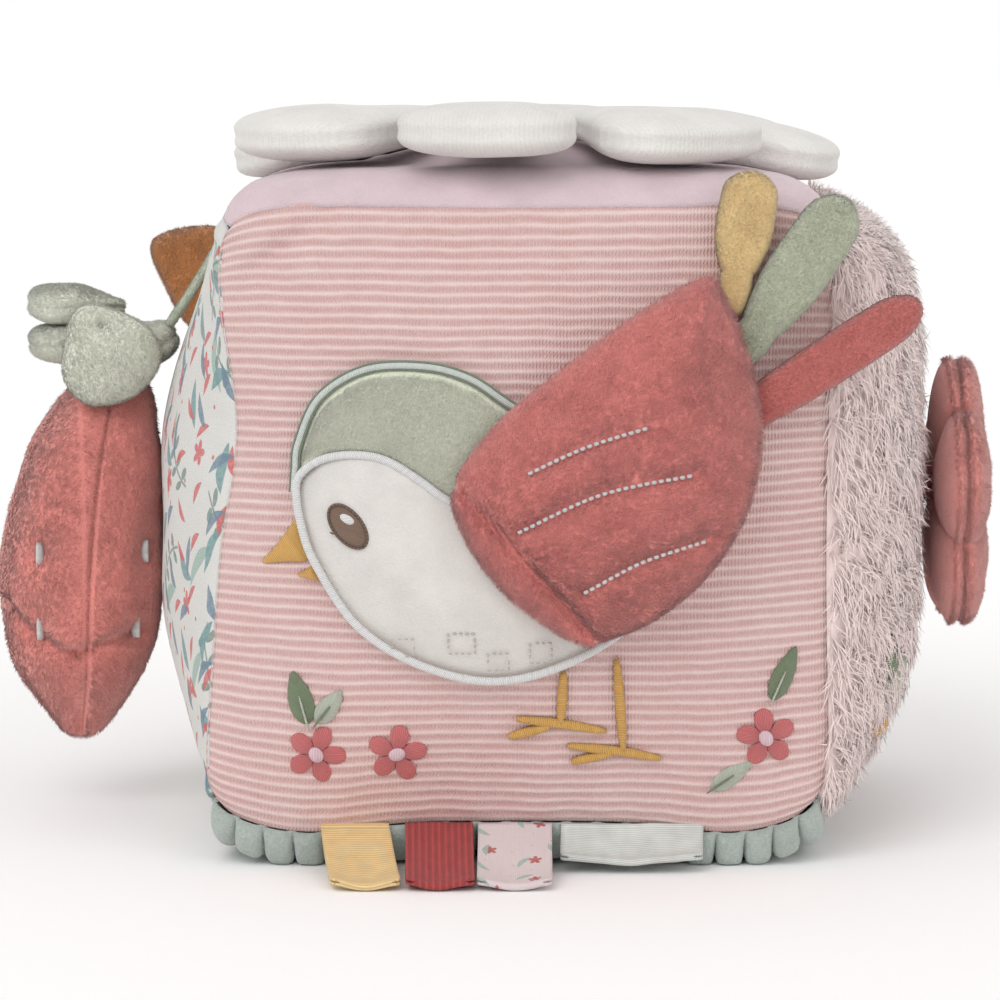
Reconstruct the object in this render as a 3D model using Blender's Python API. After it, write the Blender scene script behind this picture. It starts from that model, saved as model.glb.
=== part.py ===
"""A soft fabric block: a stuffed baby cube with a different fabric on each side.

The block stands on its padded underside, with its front towards -Y and the table at z = 0.
"""

import math

import bmesh
import bpy
from mathutils import Matrix, Vector

# Block
block_width = 0.150
block_depth = 0.150
block_height = 0.150
bottom_seam_height = 0.0110
front_bulge = 0.0150
back_bulge = 0.0150
left_bulge = 0.0195
right_bulge = 0.0195
top_bulge = 0.0140
floor_press = 0.0005
seam_bow = 0.0020
foot_flare = 0.0052
flare_power = 4
corner_rounding_share = 0.05
corner_power = 8
swell_power = 2.0
rest_swell_power = 5.0
panel_cells = 10
panel_thickness = 0.0016
seam_gap = 0.0003
pile_height = 0.0060
pile_power = 6

# Padded ribs of the underside
rib_pitch = 0.0071
rib_depth = 0.0020
rib_points = 3
rib_cells_along = 8
floor_panel_thickness = 0.0036

# Stuffing and the rattle in it
floor_clearance = 0.0007
rattle_radius = 0.0180
rattle_length = 0.0360
rattle_wall = 0.0016
rattle_ball_radius = 0.0042
pocket_clearance = 0.0003
plug_recess = 0.0014
round_sides = 20

# Sewn patches on the front
patch_thickness = 0.0012
patch_gap = 0.0003
thread_thickness = 0.0008
drape_step = 0.0120

# Bird patch, by its own outline
bird_left = -0.0560
bird_low = 0.0490
bird_length = 0.1000
bird_tall = 0.0770
breast_shares = [
    (0.000, 0.60), (0.010, 0.74), (0.060, 0.89), (0.170, 0.98), (0.310, 0.99), (0.420, 0.95),
    (0.516, 0.87), (0.660, 0.77), (0.820, 0.73), (0.960, 0.74), (0.990, 0.64), (0.930, 0.42),
    (0.820, 0.20), (0.660, 0.06), (0.480, 0.00), (0.300, 0.05), (0.150, 0.17), (0.050, 0.36),
]
hood_shares = [
    (0.012, 0.63), (0.020, 0.74), (0.070, 0.88), (0.175, 0.968), (0.310, 0.978), (0.415, 0.938),
    (0.510, 0.857), (0.620, 0.770), (0.660, 0.700), (0.560, 0.600), (0.460, 0.560),
    (0.372, 0.573), (0.298, 0.636), (0.222, 0.692), (0.150, 0.708), (0.074, 0.695),
]
outline_points = 36
eye_share = (0.128, 0.486)
eye_half_long = 0.0060
eye_half_short = 0.0036
eye_turn_deg = -50.0
beak_top_share = (0.001, 0.506)
beak_tip_share = (-0.085, 0.390)
beak_foot_share = (0.024, 0.382)
leg_width = 0.0024
leg_tops = (0.0500, 0.0535)
leg_foot = 0.0368
leg_places = (0.0082, 0.0222)
leg_step = 0.0075
toe_length = 0.0115
heel_length = 0.0090
toe_drop = 0.0030

# Embroidered flowers and leaves on the front
flower_radius = 0.0072
flower_petals = 5
flower_waist_share = 0.62
flower_places = ((-0.0510, 0.0315), (-0.0310, 0.0265), (0.0560, 0.0300))
leaf_length = 0.0105
leaf_width = 0.0050
leaf_places = (
    (-0.0555, 0.0452, 20.0), (-0.0425, 0.0420, -35.0), (0.0625, 0.0440, -20.0), (0.0455, 0.0240, 60.0),
)

# Wing: its sewn fold, then its free part
fold_middle = (-0.0004, 0.0783)
fold_slope_deg = -48.0
wing_span = 0.0600
wing_length = 0.0775
wing_lift_off = 0.0955
wing_front_swell = 0.0085
wing_back_swell = 0.0013
wing_cover = 0.0013
wing_fold_gap = 0.0003
wing_curl = 0.0060
rim_swell = 0.0028
wing_shares = [
    (0.42, 0.000), (0.50, 0.180), (0.507, 0.385), (0.448, 0.565), (0.33, 0.717), (0.19, 0.826),
    (-0.055, 0.938), (-0.28, 0.997), (-0.373, 0.987), (-0.44, 0.783), (-0.48, 0.520),
    (-0.495, 0.238), (-0.455, 0.043), (-0.42, 0.0), (-0.22, 0.0), (0.0, 0.0), (0.22, 0.0),
]
rim_shares = [
    (0.40, 0.0), (0.20, 0.0), (0.0, 0.0), (-0.20, 0.0), (-0.40, 0.0), (-0.385, -0.040),
    (-0.21, -0.090), (0.045, -0.103), (0.29, -0.065),
]
wing_points = 32

# Tail tabs: name, fold middle, lean from upright, length, width, fold width, distance forward
tab_thickness = 0.0044
tab_points = 24
tab_root_gap = 0.0003
tab_shares = [
    (0.0, 0.92), (0.06, 1.0), (0.35, 1.0), (0.70, 1.0), (0.86, 0.90), (0.96, 0.52), (1.0, 0.0),
]
tabs = (
    ("yellow", (0.0498, 0.1466), 9.0, 0.0245, 0.0135, 0.0085, 0.0808),
    ("sage", (0.0552, 0.1338), 34.0, 0.0370, 0.0145, 0.0100, 0.0828),
    ("rose", (0.0575, 0.1165), 57.0, 0.0430, 0.0115, 0.0105, 0.0838),
)
root_depth = 0.0095
root_thickness = 0.0024

# Ribbon tags in the front bottom seam: name, left edge, width, reach, end height, lean
tag_thickness = 0.0007
tag_fold_radius = 0.0009
tag_seam_clearance = 0.0006
tags = (
    ("yellow", -0.0508, 0.0168, 0.0240, 0.0016, 0.0035),
    ("red", -0.0300, 0.0166, 0.0240, 0.0016, 0.0006),
    ("printed", -0.0121, 0.0180, 0.0240, 0.0016, -0.0002),
    ("white", 0.0082, 0.0348, 0.0075, 0.0030, -0.0004),
)
tag_arc_points = 5
tag_run_points = 4

# Flower on top
flower_centre_radius = 0.0145
flower_centre_height = 0.0120
petal_count = 8
petal_first_deg = -97.0
petal_fold_radius = 0.0152
petal_reach = 0.0790
petal_width = 0.0436
petal_thickness = 0.0125
petal_inner_share = 0.50
petal_lift = 0.0058
petal_shares = [
    (0.0, 0.20), (0.05, 0.25), (0.32, 0.50), (0.58, 0.85), (0.76, 1.0), (0.90, 0.86),
    (0.98, 0.45), (1.0, 0.0),
]
petal_points = 18
petal_droop_deg = (-1.0, 2.0, 5.0, 1.0, 3.0, 2.0, 6.0, 0.0)

# Strawberry on its tape, beside the left panel
tape_width = 0.0034
tape_thickness = 0.0012
tape_sag = 0.0010
tape_points = 5
tape_foot_share = 0.965
tape_end_side = 0.0238
tape_end_rise = 0.0086
berry_middle = -0.1166
berry_tip_height = 0.0190
berry_length = 0.0990
berry_width = 0.0425
berry_depth_share = 0.84
berry_ring_shares = [
    (0.000, 0.0), (0.035, 0.26), (0.110, 0.46), (0.230, 0.70), (0.360, 0.89), (0.500, 1.0),
    (0.640, 0.98), (0.780, 0.86), (0.890, 0.64), (0.965, 0.36), (1.0, 0.0),
]
berry_sides = 20
berry_seam_share = 0.035
berry_seams = 4
calyx_lift = 0.0006
calyx_leaf_length = 0.0235
calyx_leaf_width = 0.0226
calyx_leaf_thickness = 0.0090
calyx_leaf_shares = [
    (0.0, 0.0), (0.12, 0.22), (0.5, 0.5), (0.85, 0.42), (1.0, 0.0), (0.85, -0.42), (0.5, -0.5),
    (0.12, -0.22),
]
calyx_leaf_sizes = (1.12, 1.0, 1.06, 0.904)
calyx_leaf_turns_deg = (0.0, 180.0, 178.0, 15.1)
calyx_leaf_tilts_deg = (-60.0, -6.0, 2.0, 20.9)
calyx_leaf_rolls_deg = (92.0, 0.0, 0.0, 0.0)
calyx_leaf_starts = (
    (0.00227, -0.01213, 0.01403), (0.0110, 0.0052, 0.0053),
    (0.0122, 0.0062, 0.0127), (0.00602, -0.00054, -0.00163))
calyx_points = 14

# Rose flower on the right panel
rose_radius = 0.0355
rose_thickness = 0.0145
rose_petals = 5
rose_waist_share = 0.80
rose_middle_height = 0.0860
rose_points = 30
shank_radius = 0.0060
shank_length = 0.0030
shank_dome = 0.0012
shank_tip_share = 0.3

# Caramel flap in the left back seam
flap_width = 0.0340
flap_length = 0.0330
flap_thickness = 0.0055
flap_foot_height = 0.1300
flap_turn_deg = 25.0
flap_clearance = 0.0006
flap_shares = [
    (0.0, -0.46), (0.30, -0.50), (0.66, -0.26), (0.92, 0.12), (1.0, 0.30), (0.93, 0.42),
    (0.62, 0.50), (0.28, 0.50), (0.0, 0.46), (0.0, 0.0),
]
flap_points = 20

half_width = block_width / 2
half_depth = block_depth / 2
half_height = block_height / 2
block_middle = bottom_seam_height + half_height
ball_rings = 6

for old in list(bpy.data.objects):
    bpy.data.objects.remove(old, do_unlink=True)


def material(name, colour, roughness=0.85, metallic=0.0):
    """A plain surface with one colour."""
    made = bpy.data.materials.new(name)
    made.use_nodes = True
    shader = made.node_tree.nodes["Principled BSDF"]
    shader.inputs["Base Color"].default_value = (*colour, 1.0)
    shader.inputs["Roughness"].default_value = roughness
    shader.inputs["Metallic"].default_value = metallic
    return made


rose_knit = material("rose_knit", (0.67, 0.36, 0.34))
lilac_velour = material("lilac_velour", (0.70, 0.58, 0.65))
white_cotton = material("white_cotton", (0.80, 0.78, 0.76))
pink_fur = material("pink_fur", (0.74, 0.59, 0.60))
rose_cotton = material("rose_cotton", (0.60, 0.30, 0.30))
sage_rib = material("sage_rib", (0.40, 0.48, 0.43))
sage_plush = material("sage_plush", (0.50, 0.55, 0.42))
cream_plush = material("cream_plush", (0.82, 0.76, 0.70))
rose_plush = material("rose_plush", (0.52, 0.15, 0.14))
yellow_plush = material("yellow_plush", (0.80, 0.55, 0.24))
petal_velour = material("petal_velour", (0.85, 0.82, 0.78))
caramel_plush = material("caramel_plush", (0.45, 0.20, 0.07))
fibre_fill = material("fibre_fill", (0.85, 0.85, 0.83))
case_plastic = material("case_plastic", (0.75, 0.75, 0.73), roughness=0.4)
ball_steel = material("ball_steel", (0.6, 0.6, 0.6), roughness=0.3, metallic=1.0)
ochre_thread = material("ochre_thread", (0.66, 0.40, 0.12), roughness=0.5)
brown_thread = material("brown_thread", (0.12, 0.07, 0.05), roughness=0.5)
rose_thread = material("rose_thread", (0.58, 0.14, 0.15), roughness=0.5)
green_thread = material("green_thread", (0.18, 0.24, 0.14), roughness=0.5)
yellow_satin = material("yellow_satin", (0.82, 0.58, 0.26), roughness=0.45)
red_ribbon = material("red_ribbon", (0.38, 0.06, 0.07), roughness=0.6)
pink_ribbon = material("pink_ribbon", (0.82, 0.72, 0.72), roughness=0.6)
white_ribbon = material("white_ribbon", (0.78, 0.76, 0.74), roughness=0.6)


def finish(name, mesh_maker, surface, smooth=True):
    """Turns a bmesh into a named object with its faces pointing out."""
    bmesh.ops.triangulate(mesh_maker, faces=mesh_maker.faces[:])
    bmesh.ops.recalc_face_normals(mesh_maker, faces=mesh_maker.faces[:])
    if mesh_maker.calc_volume(signed=True) < 0:
        bmesh.ops.reverse_faces(mesh_maker, faces=mesh_maker.faces[:])
    mesh = bpy.data.meshes.new(name)
    mesh_maker.to_mesh(mesh)
    mesh_maker.free()
    mesh.materials.append(surface)
    if smooth:
        mesh.shade_smooth()
        mesh.set_sharp_from_angle(angle=math.radians(50))
    made = bpy.data.objects.new(name, mesh)
    bpy.context.scene.collection.objects.link(made)
    return made


def swell(share, power=swell_power):
    """How far a panel is blown out, from 0 at its seam to 1 at its middle."""
    return 1.0 - abs(share) ** power


def flare(x, y, z):
    """How far the front left corner's foot stands out to the side."""
    return foot_flare * ((1.0 - x) / 2 * (1.0 - z) / 2) ** 2 * ((1.0 - y) / 2) ** flare_power


def block_point(x, y, z, inset=0.0, floor_inset=0.0):
    """A point of the stuffed block for a point on the skin of the cube from -1 to 1."""
    across, along, up = swell(x), swell(y), swell(z)
    bulge_x = (right_bulge if x > 0 else left_bulge) * along * up
    bulge_y = (back_bulge if y > 0 else front_bulge) * across * up
    bulge_z = top_bulge * across * along
    depth_down = inset
    if z < 0:
        flat = swell(x, rest_swell_power) * swell(y, rest_swell_power)
        bulge_z = (bottom_seam_height + floor_press) * flat
        depth_down = floor_inset
    bow_x = seam_bow * (along + up - 2 * along * up)
    bow_y = seam_bow * (across + up - 2 * across * up)
    bow_z = seam_bow * (across + along - 2 * across * along) if z > 0 else 0.0
    pull = 1.0 - corner_rounding_share * abs(x * y * z) ** corner_power
    return Vector((
        x * pull * (half_width - inset + bulge_x - bow_x) - flare(x, y, z),
        y * pull * (half_depth - inset + bulge_y - bow_y),
        block_middle + z * pull * (half_height - depth_down + bulge_z - bow_z),
    ))


def grid_mesh(columns, rows):
    """A flat grid from -1 to 1 both ways."""
    mesh_maker = bmesh.new()
    bmesh.ops.create_grid(mesh_maker, x_segments=columns, y_segments=rows, size=1.0)
    return mesh_maker


def two_skins(mesh_maker, inner, outer):
    """Makes a closed wall from a flat mesh, with one face at inner(u, v) and one at outer(u, v)."""
    low = mesh_maker.verts[:]
    grown = bmesh.ops.extrude_face_region(
        mesh_maker, geom=mesh_maker.faces[:], use_keep_orig=True
    )["geom"]
    high = [item for item in grown if isinstance(item, bmesh.types.BMVert)]
    for vert in low:
        vert.co = inner(vert.co.x, vert.co.y)
    for vert in high:
        vert.co = outer(vert.co.x, vert.co.y)


def side_cube_point(side, u, v):
    """The point of the cube for the place u, v on one of its sides."""
    return {
        "front": (u, -1.0, v), "back": (-u, 1.0, v), "left": (-1.0, -u, v), "right": (1.0, u, v),
        "top": (u, v, 1.0), "bottom": (u, -v, -1.0),
    }[side]


def panel(side, surface):
    """One side's fabric, sewn to its neighbours along mitred edges."""
    edge = 1.0 - seam_gap / math.sqrt(2.0) / half_width
    pile = pile_height if side == "right" else 0.0

    def skin(u, v, inset, floor_inset):
        return block_point(*side_cube_point(side, u * edge, v * edge), inset, floor_inset)

    def inner(u, v):
        return skin(u, v, panel_thickness, floor_panel_thickness)

    def outer(u, v):
        point = skin(u, v, 0.0, 0.0)
        point.x += pile * (1.0 - abs(u) ** pile_power) * (1.0 - abs(v) ** pile_power)
        return point

    mesh_maker = grid_mesh(panel_cells, panel_cells)
    two_skins(mesh_maker, inner, outer)
    return finish(f"{side}_panel", mesh_maker, surface)


def bottom_panel():
    """The padded underside: rolls from front to back, pressed flat on the table."""
    edge = 1.0 - seam_gap / math.sqrt(2.0) / half_width
    ribs = round(block_width / rib_pitch)
    ribs += 1 - ribs % 2
    columns = ribs * rib_points
    crest_cosine = math.cos(2 * math.pi / rib_points)

    def inner(u, v):
        return block_point(*side_cube_point("bottom", u * edge, v * edge), panel_thickness,
                           floor_panel_thickness)

    def outer(u, v):
        point = block_point(*side_cube_point("bottom", u * edge, v * edge))
        phase = (u + 1.0) / 2.0 * ribs
        hollow = (math.cos(2 * math.pi * phase) - crest_cosine) / (1.0 - crest_cosine)
        inside = min(1.0, (1.0 - abs(u)) * ribs) * min(1.0, (1.0 - abs(v)) * rib_cells_along)
        point.z = max(0.0, point.z + rib_depth * hollow * inside)
        return point

    mesh_maker = grid_mesh(columns, rib_cells_along)
    two_skins(mesh_maker, inner, outer)
    return finish("bottom_panel", mesh_maker, sage_rib)


def box_mesh(cells):
    """A cube from -1 to 1 with its sides cut into squares."""
    mesh_maker = bmesh.new()
    bmesh.ops.create_cube(mesh_maker, size=2.0)
    bmesh.ops.subdivide_edges(
        mesh_maker, edges=mesh_maker.edges[:], cuts=cells - 1, use_grid_fill=True
    )
    return mesh_maker


def turned(profile, sides, axis_turn, place):
    """A turned shape from points (height, radius), whose ends lie on the axis."""
    mesh_maker = bmesh.new()
    verts = [mesh_maker.verts.new((radius, 0.0, height)) for height, radius in profile]
    edges = [mesh_maker.edges.new(pair) for pair in zip(verts, verts[1:])]
    bmesh.ops.spin(
        mesh_maker, geom=verts + edges, cent=(0, 0, 0), axis=(0, 0, 1), angle=2 * math.pi,
        steps=sides, use_merge=True,
    )
    bmesh.ops.remove_doubles(mesh_maker, verts=mesh_maker.verts[:], dist=1e-6)
    bmesh.ops.transform(
        mesh_maker, matrix=Matrix.Translation(place) @ axis_turn, verts=mesh_maker.verts[:]
    )
    return mesh_maker


def stuffing():
    """The fibre core with its pocket, the plug that shuts it, and the rattle inside."""
    inset = panel_thickness + seam_gap
    floor_inset = floor_panel_thickness + floor_clearance
    mesh_maker = box_mesh(panel_cells)
    for vert in mesh_maker.verts:
        vert.co = block_point(*vert.co, inset, floor_inset)
    core = finish("stuffing_core", mesh_maker, fibre_fill)

    pocket_radius = rattle_radius + pocket_clearance
    pocket_start = -rattle_length / 2 - pocket_clearance
    core_back = half_depth + back_bulge - inset
    to_back = Matrix.Rotation(math.radians(-90), 4, "X")
    middle = Vector((0.0, 0.0, block_middle))

    pocket = [
        (pocket_start, 0.0), (pocket_start, pocket_radius),
        (core_back + pocket_radius, pocket_radius), (core_back + pocket_radius, 0.0),
    ]
    cutter = finish("pocket_cutter", turned(pocket[::-1], round_sides, to_back, middle), fibre_fill)
    cutter.hide_render = True
    cutter.display_type = "WIRE"
    cut = core.modifiers.new("pocket", "BOOLEAN")
    cut.operation = "DIFFERENCE"
    cut.solver = "EXACT"
    cut.object = cutter

    plug_start = rattle_length / 2 + pocket_clearance
    plug_end = core_back - plug_recess
    plug_radius = pocket_radius - pocket_clearance
    plug = [
        (plug_start, 0.0), (plug_start, plug_radius), (plug_end, plug_radius), (plug_end, 0.0),
    ]
    finish("stuffing_plug", turned(plug, round_sides, to_back, middle), fibre_fill)

    half = rattle_length / 2
    lip = seam_gap / 2
    inner_radius = rattle_radius - rattle_wall
    cup = [
        (half, 0.0), (half, rattle_radius), (lip, rattle_radius), (lip, inner_radius),
        (half - rattle_wall, inner_radius), (half - rattle_wall, 0.0),
    ]
    finish("rattle_cup_back", turned(cup, round_sides, to_back, middle), case_plastic)
    front_cup = [(-height, radius) for height, radius in cup]
    finish("rattle_cup_front", turned(front_cup, round_sides, to_back, middle), case_plastic)

    ball = bmesh.new()
    rest = middle - Vector((0, 0, inner_radius * math.cos(math.pi / round_sides)
                            - rattle_ball_radius - pocket_clearance))
    bmesh.ops.create_uvsphere(
        ball, u_segments=round_sides // 2, v_segments=ball_rings, radius=rattle_ball_radius,
        matrix=Matrix.Translation(rest),
    )
    finish("rattle_ball", ball, ball_steel)


def smooth_loop(points, count):
    """Points spaced evenly along a smooth closed curve through the given ones."""
    curve = []
    steps = 12
    total = len(points)
    for i in range(total):
        before, start = Vector(points[i - 1]), Vector(points[i])
        end, after = Vector(points[(i + 1) % total]), Vector(points[(i + 2) % total])
        for k in range(steps):
            t = k / steps
            curve.append(
                0.5 * (2 * start + (end - before) * t + (2 * before - 5 * start + 4 * end - after)
                       * t ** 2 + (3 * start - before - 3 * end + after) * t ** 3)
            )
    lengths = [0.0]
    for i in range(len(curve)):
        lengths.append(lengths[-1] + (curve[(i + 1) % len(curve)] - curve[i]).length)
    even = []
    at = 0
    for k in range(count):
        goal = lengths[-1] * k / count
        while lengths[at + 1] < goal:
            at += 1
        share = (goal - lengths[at]) / (lengths[at + 1] - lengths[at])
        even.append(curve[at].lerp(curve[(at + 1) % len(curve)], share))
    return even


def front_depth(x, z):
    """How far forward the front panel lies at a place on it."""
    u, v = x / half_width, (z - block_middle) / half_height
    for _ in range(4):
        u = (x + flare(u, -1.0, v)) / (half_width - seam_bow * swell(v))
        v = (z - block_middle) / (half_height - (seam_bow * swell(u) if z > block_middle else 0.0))
        u, v = max(-1.0, min(1.0, u)), max(-1.0, min(1.0, v))
    return -block_point(u, -1.0, v).y


def patch(name, outline, lift, thickness, surface, faces=None):
    """A flat piece sewn on the front panel, which follows the panel's crown."""
    mesh_maker = bmesh.new()
    corners = [mesh_maker.verts.new((point[0], point[1], 0.0)) for point in outline]
    for face in faces or [range(len(corners))]:
        mesh_maker.faces.new([corners[corner] for corner in face])
    for axis in range(2):
        values = [point[axis] for point in outline]
        normal = Vector((1, 0, 0)) if axis == 0 else Vector((0, 1, 0))
        line = math.ceil(min(values) / drape_step) * drape_step
        while line < max(values):
            bmesh.ops.bisect_plane(
                mesh_maker, geom=mesh_maker.verts[:] + mesh_maker.edges[:] + mesh_maker.faces[:],
                dist=1e-6, plane_co=normal * line, plane_no=normal,
            )
            line += drape_step

    def inner(x, z):
        return Vector((x, -front_depth(x, z) - lift, z))

    def outer(x, z):
        return Vector((x, -front_depth(x, z) - lift - thickness, z))

    two_skins(mesh_maker, inner, outer)
    return finish(name, mesh_maker, surface)


def shares_to_outline(shares, left, low, wide, tall, count):
    """A smooth outline from shares of its width and height."""
    return smooth_loop([(left + wide * u, low + tall * v) for u, v in shares], count)


def ellipse(middle, half_long, half_short, turn_deg, count):
    """An ellipse's points, turned anticlockwise."""
    turn = math.radians(turn_deg)
    points = []
    for k in range(count):
        angle = 2 * math.pi * k / count
        a, b = half_long * math.cos(angle), half_short * math.sin(angle)
        points.append((
            middle[0] + a * math.cos(turn) - b * math.sin(turn),
            middle[1] + a * math.sin(turn) + b * math.cos(turn),
        ))
    return points


def lobed(middle, radius, lobes, waist_share, count, turn_deg=90.0):
    """A flower's outline with round petals."""
    points = []
    for k in range(count):
        angle = 2 * math.pi * k / count
        wave = abs(math.cos(lobes * angle / 2)) ** 0.6
        reach = radius * (waist_share + (1 - waist_share) * wave)
        turned_angle = angle + math.radians(turn_deg)
        points.append((
            middle[0] + reach * math.cos(turned_angle), middle[1] + reach * math.sin(turned_angle)
        ))
    return points


def bird():
    """The songbird on the front: breast, hood, eye, beak and legs."""
    breast = shares_to_outline(
        breast_shares, bird_left, bird_low, bird_length, bird_tall, outline_points
    )
    patch("bird_breast", breast, patch_gap, patch_thickness, cream_plush)
    second = patch_gap + patch_thickness + patch_gap
    hood = shares_to_outline(
        hood_shares, bird_left, bird_low, bird_length, bird_tall, outline_points
    )
    patch("bird_hood", hood, second, patch_thickness, sage_plush)
    eye = (bird_left + eye_share[0] * bird_length, bird_low + eye_share[1] * bird_tall)
    patch("bird_eye", ellipse(eye, eye_half_long, eye_half_short, eye_turn_deg, 16), second, thread_thickness,
          brown_thread)

    beak = [
        (bird_left + u * bird_length, bird_low + v * bird_tall)
        for u, v in (beak_top_share, beak_tip_share, beak_foot_share)
    ]
    patch("bird_beak", beak, patch_gap, thread_thickness, ochre_thread)

    for name, place, leg_top in zip(("front", "rear"), leg_places, leg_tops):
        foot = leg_foot - (leg_step if name == "rear" else 0.0)
        left, right = place - leg_width / 2, place + leg_width / 2
        leg = [
            (right, leg_top), (left, leg_top), (left, foot + leg_width),
            (left - toe_length, foot + leg_width - toe_drop), (left - toe_length, foot - toe_drop),
            (left, foot - toe_drop / 2), (right, foot - toe_drop / 2),
            (right + heel_length, foot - toe_drop),
            (right + heel_length, foot + leg_width - toe_drop), (right, foot + leg_width),
        ]
        faces = ((0, 1, 2, 9), (2, 3, 4, 5), (9, 2, 5, 6), (9, 6, 7, 8))
        patch(f"bird_leg_{name}", leg, patch_gap, thread_thickness, ochre_thread, faces)


def embroidery():
    """Small flowers and leaves in satin stitch."""
    for number, place in enumerate(flower_places, 1):
        outline = lobed(place, flower_radius, flower_petals, flower_waist_share, flower_petals * 6)
        patch(f"sewn_flower_{number}", outline, patch_gap, thread_thickness, rose_thread)
    for number, (x, z, turn) in enumerate(leaf_places, 1):
        outline = ellipse((x, z), leaf_width / 2, leaf_length / 2, turn, 12)
        patch(f"sewn_leaf_{number}", outline, patch_gap, thread_thickness, green_thread)


def pillow(outline, middle, rings, spread, plump, place):
    """A stuffed shape: place(point, height) puts an outline's point in space, height -1 to 1."""
    count = len(outline)
    mesh_maker = bmesh.new()
    bmesh.ops.create_uvsphere(mesh_maker, u_segments=count, v_segments=rings, radius=1.0)
    centre = Vector(middle)
    for vert in mesh_maker.verts:
        radius = min(1.0, math.hypot(vert.co.x, vert.co.y))
        angle = math.atan2(vert.co.y, vert.co.x) % (2 * math.pi)
        index = round(angle / (2 * math.pi) * count) % count
        height = math.copysign(abs(vert.co.z) ** plump, vert.co.z) if abs(vert.co.z) > 1e-6 else 0.0
        reach = radius ** spread if radius > 1e-6 else 0.0
        vert.co = place(centre.lerp(Vector(outline[index]), reach), height)
    return mesh_maker


def half_skins(outline, middle, rings, place, side):
    """One cover of a stuffed flap, a shell between two heights of the same pillow."""
    count = len(outline)
    mesh_maker = bmesh.new()
    bmesh.ops.create_uvsphere(mesh_maker, u_segments=count, v_segments=rings, radius=1.0)
    bmesh.ops.bisect_plane(
        mesh_maker, geom=mesh_maker.verts[:] + mesh_maker.edges[:] + mesh_maker.faces[:],
        dist=1e-5, plane_co=(0, 0, 0), plane_no=(0, 0, 1), clear_inner=True,
    )
    centre = Vector(middle)
    kept = {}
    for vert in mesh_maker.verts:
        radius = min(1.0, math.hypot(vert.co.x, vert.co.y))
        angle = math.atan2(vert.co.y, vert.co.x) % (2 * math.pi)
        index = round(angle / (2 * math.pi) * count) % count
        kept[vert.index] = (index, radius, max(0.0, vert.co.z))
        vert.co = (vert.index, 0.0, 0.0)

    def lay(layer):
        def at(number, _):
            index, radius, height = kept[round(number)]
            return place(centre, Vector(outline[index]), radius, height * side, layer)
        return at

    mesh_maker.verts.index_update()
    two_skins(mesh_maker, lay(1), lay(0))
    return mesh_maker


def wing_frame():
    """The fold's middle, its direction, the way to the free end and the way out."""
    slope = math.radians(fold_slope_deg)
    along = Vector((math.cos(slope), 0.0, math.sin(slope)))
    away = Vector((-math.sin(slope), 0.0, math.cos(slope)))
    origin = Vector((fold_middle[0], -wing_lift_off, fold_middle[1]))
    return origin, along, away, Vector((0.0, -1.0, 0.0))


def wing_point(a, b, height):
    """A point of the wing from its place on the flap and its height over the middle."""
    origin, along, away, out = wing_frame()
    curl = wing_curl * max(0.0, b / wing_length) ** 3
    return origin + along * a + away * b + out * (height - curl)


def wing():
    """The stuffed wing: two plush covers over padding, and the rim outside its sewn fold."""
    outline = smooth_loop(
        [(wing_span * u, wing_length * v) for u, v in wing_shares], wing_points
    )
    outline = [(a, max(b, wing_fold_gap)) for a, b in outline]
    middle = (0.0, wing_length * 0.5)
    reach = wing_length * 0.5

    half_gap = wing_fold_gap / 2

    def flat_place(centre, rim, radius, inset):
        return centre.lerp(rim, radius ** 0.75 * (1.0 - inset / reach))

    def front(centre, rim, radius, height, layer):
        flat = flat_place(centre, rim, radius, wing_cover * layer)
        rise = wing_front_swell * abs(height) ** 0.8
        return wing_point(flat.x, flat.y, half_gap + max(rise - wing_cover * layer, 0.0))

    def back(centre, rim, radius, height, layer):
        flat = flat_place(centre, rim, radius, wing_cover * layer)
        rise = 0.0 if layer else wing_back_swell * abs(height) ** 0.8
        return wing_point(flat.x, flat.y, -half_gap - rise)

    finish("wing_front_cover", half_skins(outline, middle, 8, front, 1), rose_plush)
    finish("wing_back_cover", half_skins(outline, middle, 8, back, -1), rose_plush)

    fill_share = 1.0 - (wing_cover * 2 + wing_fold_gap) / reach

    def fill(point, height):
        flat = Vector(middle).lerp(point, fill_share)
        rise = wing_front_swell * max(height, 0.0) - wing_cover - 3 * wing_fold_gap
        if rise < 0.0:
            rise = min(height, 0.0) * wing_fold_gap
        return wing_point(flat.x, flat.y, wing_fold_gap + half_gap + rise)

    finish("wing_padding", pillow(outline, middle, 8, 0.75, 0.8, fill), fibre_fill)

    rim = smooth_loop([(wing_span * u, wing_length * v) for u, v in rim_shares], 20)
    rim = [(a, min(b, -wing_fold_gap)) for a, b in rim]

    def on_rim(point, height):
        at = wing_point(point.x, point.y, rim_swell * max(height, 0.0))
        seat = front_depth(at.x, at.z) + patch_thickness + 2 * patch_gap
        at.y += (wing_lift_off - seat) * max(-height, 0.0)
        return at

    rim_middle = (0.0, wing_length * -0.042)
    finish("wing_rim", pillow(rim, rim_middle, 6, 0.7, 0.7, on_rim), rose_plush)


def strip_outline(shares, length, width, fold_width, count):
    """A tab's outline along x from its fold, drawn in at the fold."""
    def half(u, v):
        grow = min(1.0, u / 0.35)
        return v * (fold_width + (width - fold_width) * grow) / 2

    upper = [(length * u, half(u, v)) for u, v in shares]
    lower = [(length * u, -half(u, v)) for u, v in shares[-2::-1]]
    return smooth_loop(upper + lower, count)


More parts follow.
